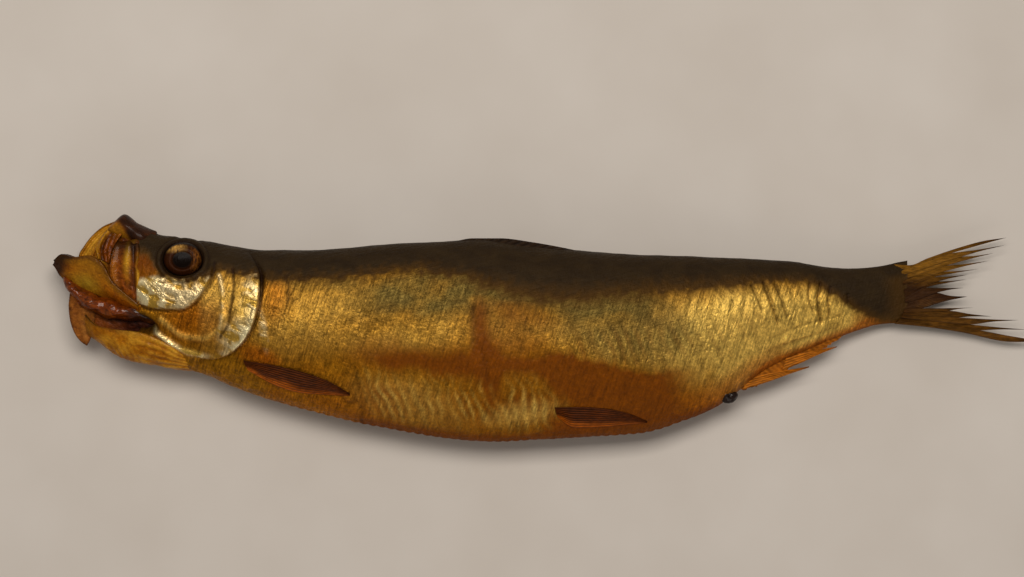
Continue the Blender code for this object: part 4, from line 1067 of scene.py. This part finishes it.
def make_anal_fin():
    """The anal fin: a low, ragged, orange-red frill along the belly's rear end, with two loose spikes."""
    blades = []
    root = path_through([(204.0, -17.0), (212.0, -11.6), (222.0, -6.4), (232.0, -2.2), (241.0, 0.6)])
    edge_line = path_through([(204.6, -18.6), (208.0, -18.4), (213.0, -16.6), (218.6, -13.9), (221.0, -12.3),
                              (226.0, -9.7), (232.0, -6.1), (236.0, -3.4), (241.0, 0.2)])
    s = np.linspace(0, 1, 170)
    t = np.linspace(0, 1, 18)
    s, t = np.meshgrid(s, t, indexing="ij")
    ragged = t * (1 + 0.10 * noise(np.stack([s * 60, 0 * s, 0 * s], -1), 1.0, 3) * t)
    xy = root(s) * (1 - ragged[..., None]) + edge_line(s) * ragged[..., None]
    ray = np.abs(np.sin(math.pi * (26 * s - 1.2 * t)))
    z = middle(xy[..., 0]) + 0.6 * (1 - t) + 0.16 * ray
    z = z + relief_of(xy[..., 0], xy[..., 1], 0 * t, 3, 0.2, 130)
    masks = fin_masks(s, 0.4 + 0.3 * ray, 0.8 * bump(t, 0.0, 0.12) + 0.5 * bump(s, 0.05, 0.08), 0.5 + 0.2
                      * ray)
    blades.append((np.stack([xy[..., 0], xy[..., 1], z], -1), 1.0 - 0.6 * t, masks))
    for upper, lower, lift in (
            ([(208.0, -15.4), (217.0, -13.2), (222.0, -12.4), (227.2, -11.6)],
             [(207.0, -18.6), (216.0, -15.8), (222.0, -13.6), (227.2, -11.9)], 0.3),
            ([(220.0, -9.2), (227.0, -7.2), (231.0, -6.4), (235.6, -5.6)],
             [(219.0, -12.8), (225.0, -10.4), (230.4, -7.9), (235.6, -5.8)], 0.5)):
        top, depth, s, t, ray = blade(upper, lower, 60, 16, 4, 7, lift)
        blades.append((top, depth, fin_masks(s, ray, 0.3 * smoothstep(0.8, 1, s), 0.8)))
    return join_plates("anal_fin", blades, AMBER_FIN)


def make_dorsal_fin():
    """The dorsal fin, laid down along the back."""
    upper = [(119.0, 25.6), (126.0, 26.9), (134.0, 26.9), (144.0, 25.7), (152.0, 24.3), (160.0, 22.6)]
    lower = [(119.6, 23.6), (128.0, 23.8), (136.0, 23.2), (145.0, 22.2), (152.0, 21.8), (160.0, 21.6)]
    x, y, s, t = between(upper, lower, 130, 26)
    ray = np.abs(np.sin(math.pi * (15 * s + 2.4 * t)))
    z = middle(x) + 0.9 + 0.2 * ray + relief_of(x, y, 0 * x, 4.0, 0.3, 140) + 3.4 * t
    masks = fin_masks(x, ray, 0.2, 0.0)
    return plate("dorsal_fin", np.stack([x, y, z], -1), 1.4 + 3.0 * t, masks, DARK_FIN)


def make_vent():
    """The dark, dried bead at the rear end of the belly."""
    polar, turn = np.meshgrid(np.linspace(0, math.pi, 40)[1:-1],
                              np.linspace(0, 2 * math.pi, 48, endpoint=False),
                              indexing="ij")
    x, y, z = np.sin(polar) * np.cos(turn), np.sin(polar) * np.sin(turn), np.cos(polar)
    p = np.stack([2.8 * x, 2.1 * y, 2.4 * z], -1)
    p = p + np.array([202.8, -20.6, middle(202.0) + 0.2])
    p = p + np.stack([x, y, z], -1) * (0.7 * rough(p, 1.8, 3, 150))[..., None]
    burnt = 1.0 - 0.3 * bump(y, 0.6, 0.5)
    masks = masks_of(x, 0.0, 0, 0.6 * burnt)
    return make_piece("vent", p.reshape(-1, 3), tube_faces(*x.shape), masks, VENT_SKIN)


# ---------------------------------------------------------------- stage
FLOOR_SIZE = 6.0
WORLD_BRIGHTNESS = 0.20


def make_floor():
    bpy.ops.mesh.primitive_plane_add(size=FLOOR_SIZE, location=(0, 0, CAD_LOW.z))
    floor = bpy.context.object
    floor.name = "floor"
    look = Look("floor_surface")
    soft = look.noise((0.05, 0.05, 0.05), 0, 3.0, 0.5)
    colour = look.mix(look.range(soft, 0.3, 0.7), rgb(196, 187, 177), rgb(204, 196, 187))
    floor.data.materials.append(look.finish(Base_Color=colour, Roughness=0.75))


def make_light(name, place_at, aim, size, power, colour=(1, 1, 1)):
    lamp = bpy.data.lights.new(name, "AREA")
    lamp.shape = "RECTANGLE"
    lamp.size, lamp.size_y = size
    lamp.energy = power
    lamp.color = colour
    obj = bpy.data.objects.new(name, lamp)
    bpy.context.scene.collection.objects.link(obj)
    obj.location = place_at
    obj.rotation_euler = (Vector(aim) - Vector(place_at)).to_track_quat("-Z", "Y").to_euler()
    return obj


def make_stage():
    make_floor()
    make_light("key", (-0.06, 0.36, 0.95), (0, 0, 0), (0.8, 0.40), 7.6, (1.0, 0.95, 0.89))
    make_light("fill", (0.25, -0.80, 0.55), (0, 0, 0), (0.9, 0.5), 1.4, (1.0, 0.93, 0.86))
    world = bpy.data.worlds.new("world")
    world.use_nodes = True
    world.node_tree.nodes["Background"].inputs["Color"].default_value = (1.0, 0.96, 0.92, 1)
    world.node_tree.nodes["Background"].inputs["Strength"].default_value = WORLD_BRIGHTNESS
    bpy.context.scene.world = world
    bpy.context.scene.view_settings.view_transform = "Standard"


# The camera's height over the fish, in metres, the width that it sees, in millimetres, and what it looks at.
CAMERA_DISTANCE = 1.2
VIEW_WIDTH = 307.2
VIEW_CENTRE = (137.7, 11.85, 12.0)
SENSOR_WIDTH = 36.0


def make_camera():
    """Straight above the fish, far back for little perspective. The tail's tip just leaves the picture."""
    camera = bpy.data.cameras.new("camera")
    camera.sensor_width = SENSOR_WIDTH
    obj = bpy.data.objects.new("camera", camera)
    bpy.context.scene.collection.objects.link(obj)
    target = place(VIEW_CENTRE)
    obj.location = target + np.array([0, 0, CAMERA_DISTANCE])
    camera.lens = SENSOR_WIDTH * CAMERA_DISTANCE / (VIEW_WIDTH * MM)
    camera.clip_end = 20.0
    bpy.context.scene.camera = obj


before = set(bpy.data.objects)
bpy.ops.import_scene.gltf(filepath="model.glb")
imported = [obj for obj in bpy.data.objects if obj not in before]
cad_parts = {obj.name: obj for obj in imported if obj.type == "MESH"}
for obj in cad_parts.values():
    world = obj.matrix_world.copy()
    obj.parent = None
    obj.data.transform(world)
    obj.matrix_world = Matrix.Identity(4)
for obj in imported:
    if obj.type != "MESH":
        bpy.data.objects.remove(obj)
CAD_LOW, CAD_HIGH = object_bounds()
ORIGIN = np.array([CAD_HIGH.x - FISH_LENGTH * MM, (CAD_LOW.y + CAD_HIGH.y) / 2, CAD_LOW.z])
MOUTH_SKIN = flesh_look("mouth_skin", rgb(78, 32, 0), rgb(132, 64, 2), rgb(206, 150, 36))
AMBER_SKIN = flesh_look("amber_skin", rgb(124, 68, 3), rgb(164, 100, 8), rgb(206, 150, 42))
JAW_SKIN = flesh_look("jaw_skin", rgb(116, 52, 1), rgb(160, 84, 3), rgb(152, 124, 30))
WET_FLESH = flesh_look("wet_flesh", rgb(62, 22, 4), rgb(126, 56, 6), rgb(192, 116, 28), 0.45, 0.0016)
FLAP_SKIN = flesh_look("flap_skin", rgb(98, 48, 14), rgb(144, 84, 26), rgb(184, 124, 50))
# The gullet's dark tones are partly painted shade.
GULLET_SKIN = flesh_look("gullet_skin", rgb(36, 14, 12), rgb(70, 28, 12), rgb(130, 66, 18))
VENT_SKIN = flesh_look("vent_skin", rgb(20, 11, 8), rgb(34, 18, 11), rgb(56, 28, 14), 0.4)
RED_FIN = fin_look("red_fin", rgb(38, 14, 2), rgb(72, 29, 2), rgb(172, 86, 6))
AMBER_FIN = fin_look("amber_fin", rgb(80, 32, 1), rgb(124, 58, 2), rgb(176, 104, 22))
DARK_FIN = fin_look("dark_fin", rgb(26, 17, 9), rgb(48, 33, 17), rgb(58, 40, 22))
TAIL_FIN = fin_look("tail_rays", rgb(50, 28, 7), rgb(90, 55, 13), rgb(146, 100, 26))

make_skin()
make_eye(1, "left")
make_eye(-1, "right")
make_snout()
make_far_lip()
make_near_lip()
make_mouth_lining()
make_near_jawbone()
make_lower_jaw()
make_throat()
make_gill_stump()
make_gullet()
make_flap()
for side, word in ((1, "left"), (-1, "right")):
    make_paired_fin(f"pectoral_fin_{word}", PECTORAL_UPPER, PECTORAL_LOWER, side, 9, 0.95, 160, 1.25)
    make_paired_fin(f"pelvic_fin_{word}", PELVIC_UPPER, PELVIC_LOWER, side, 9, 0.75, 165, 0.35)
make_anal_fin()
make_dorsal_fin()
make_tail()
make_vent()
make_stage()
make_camera()
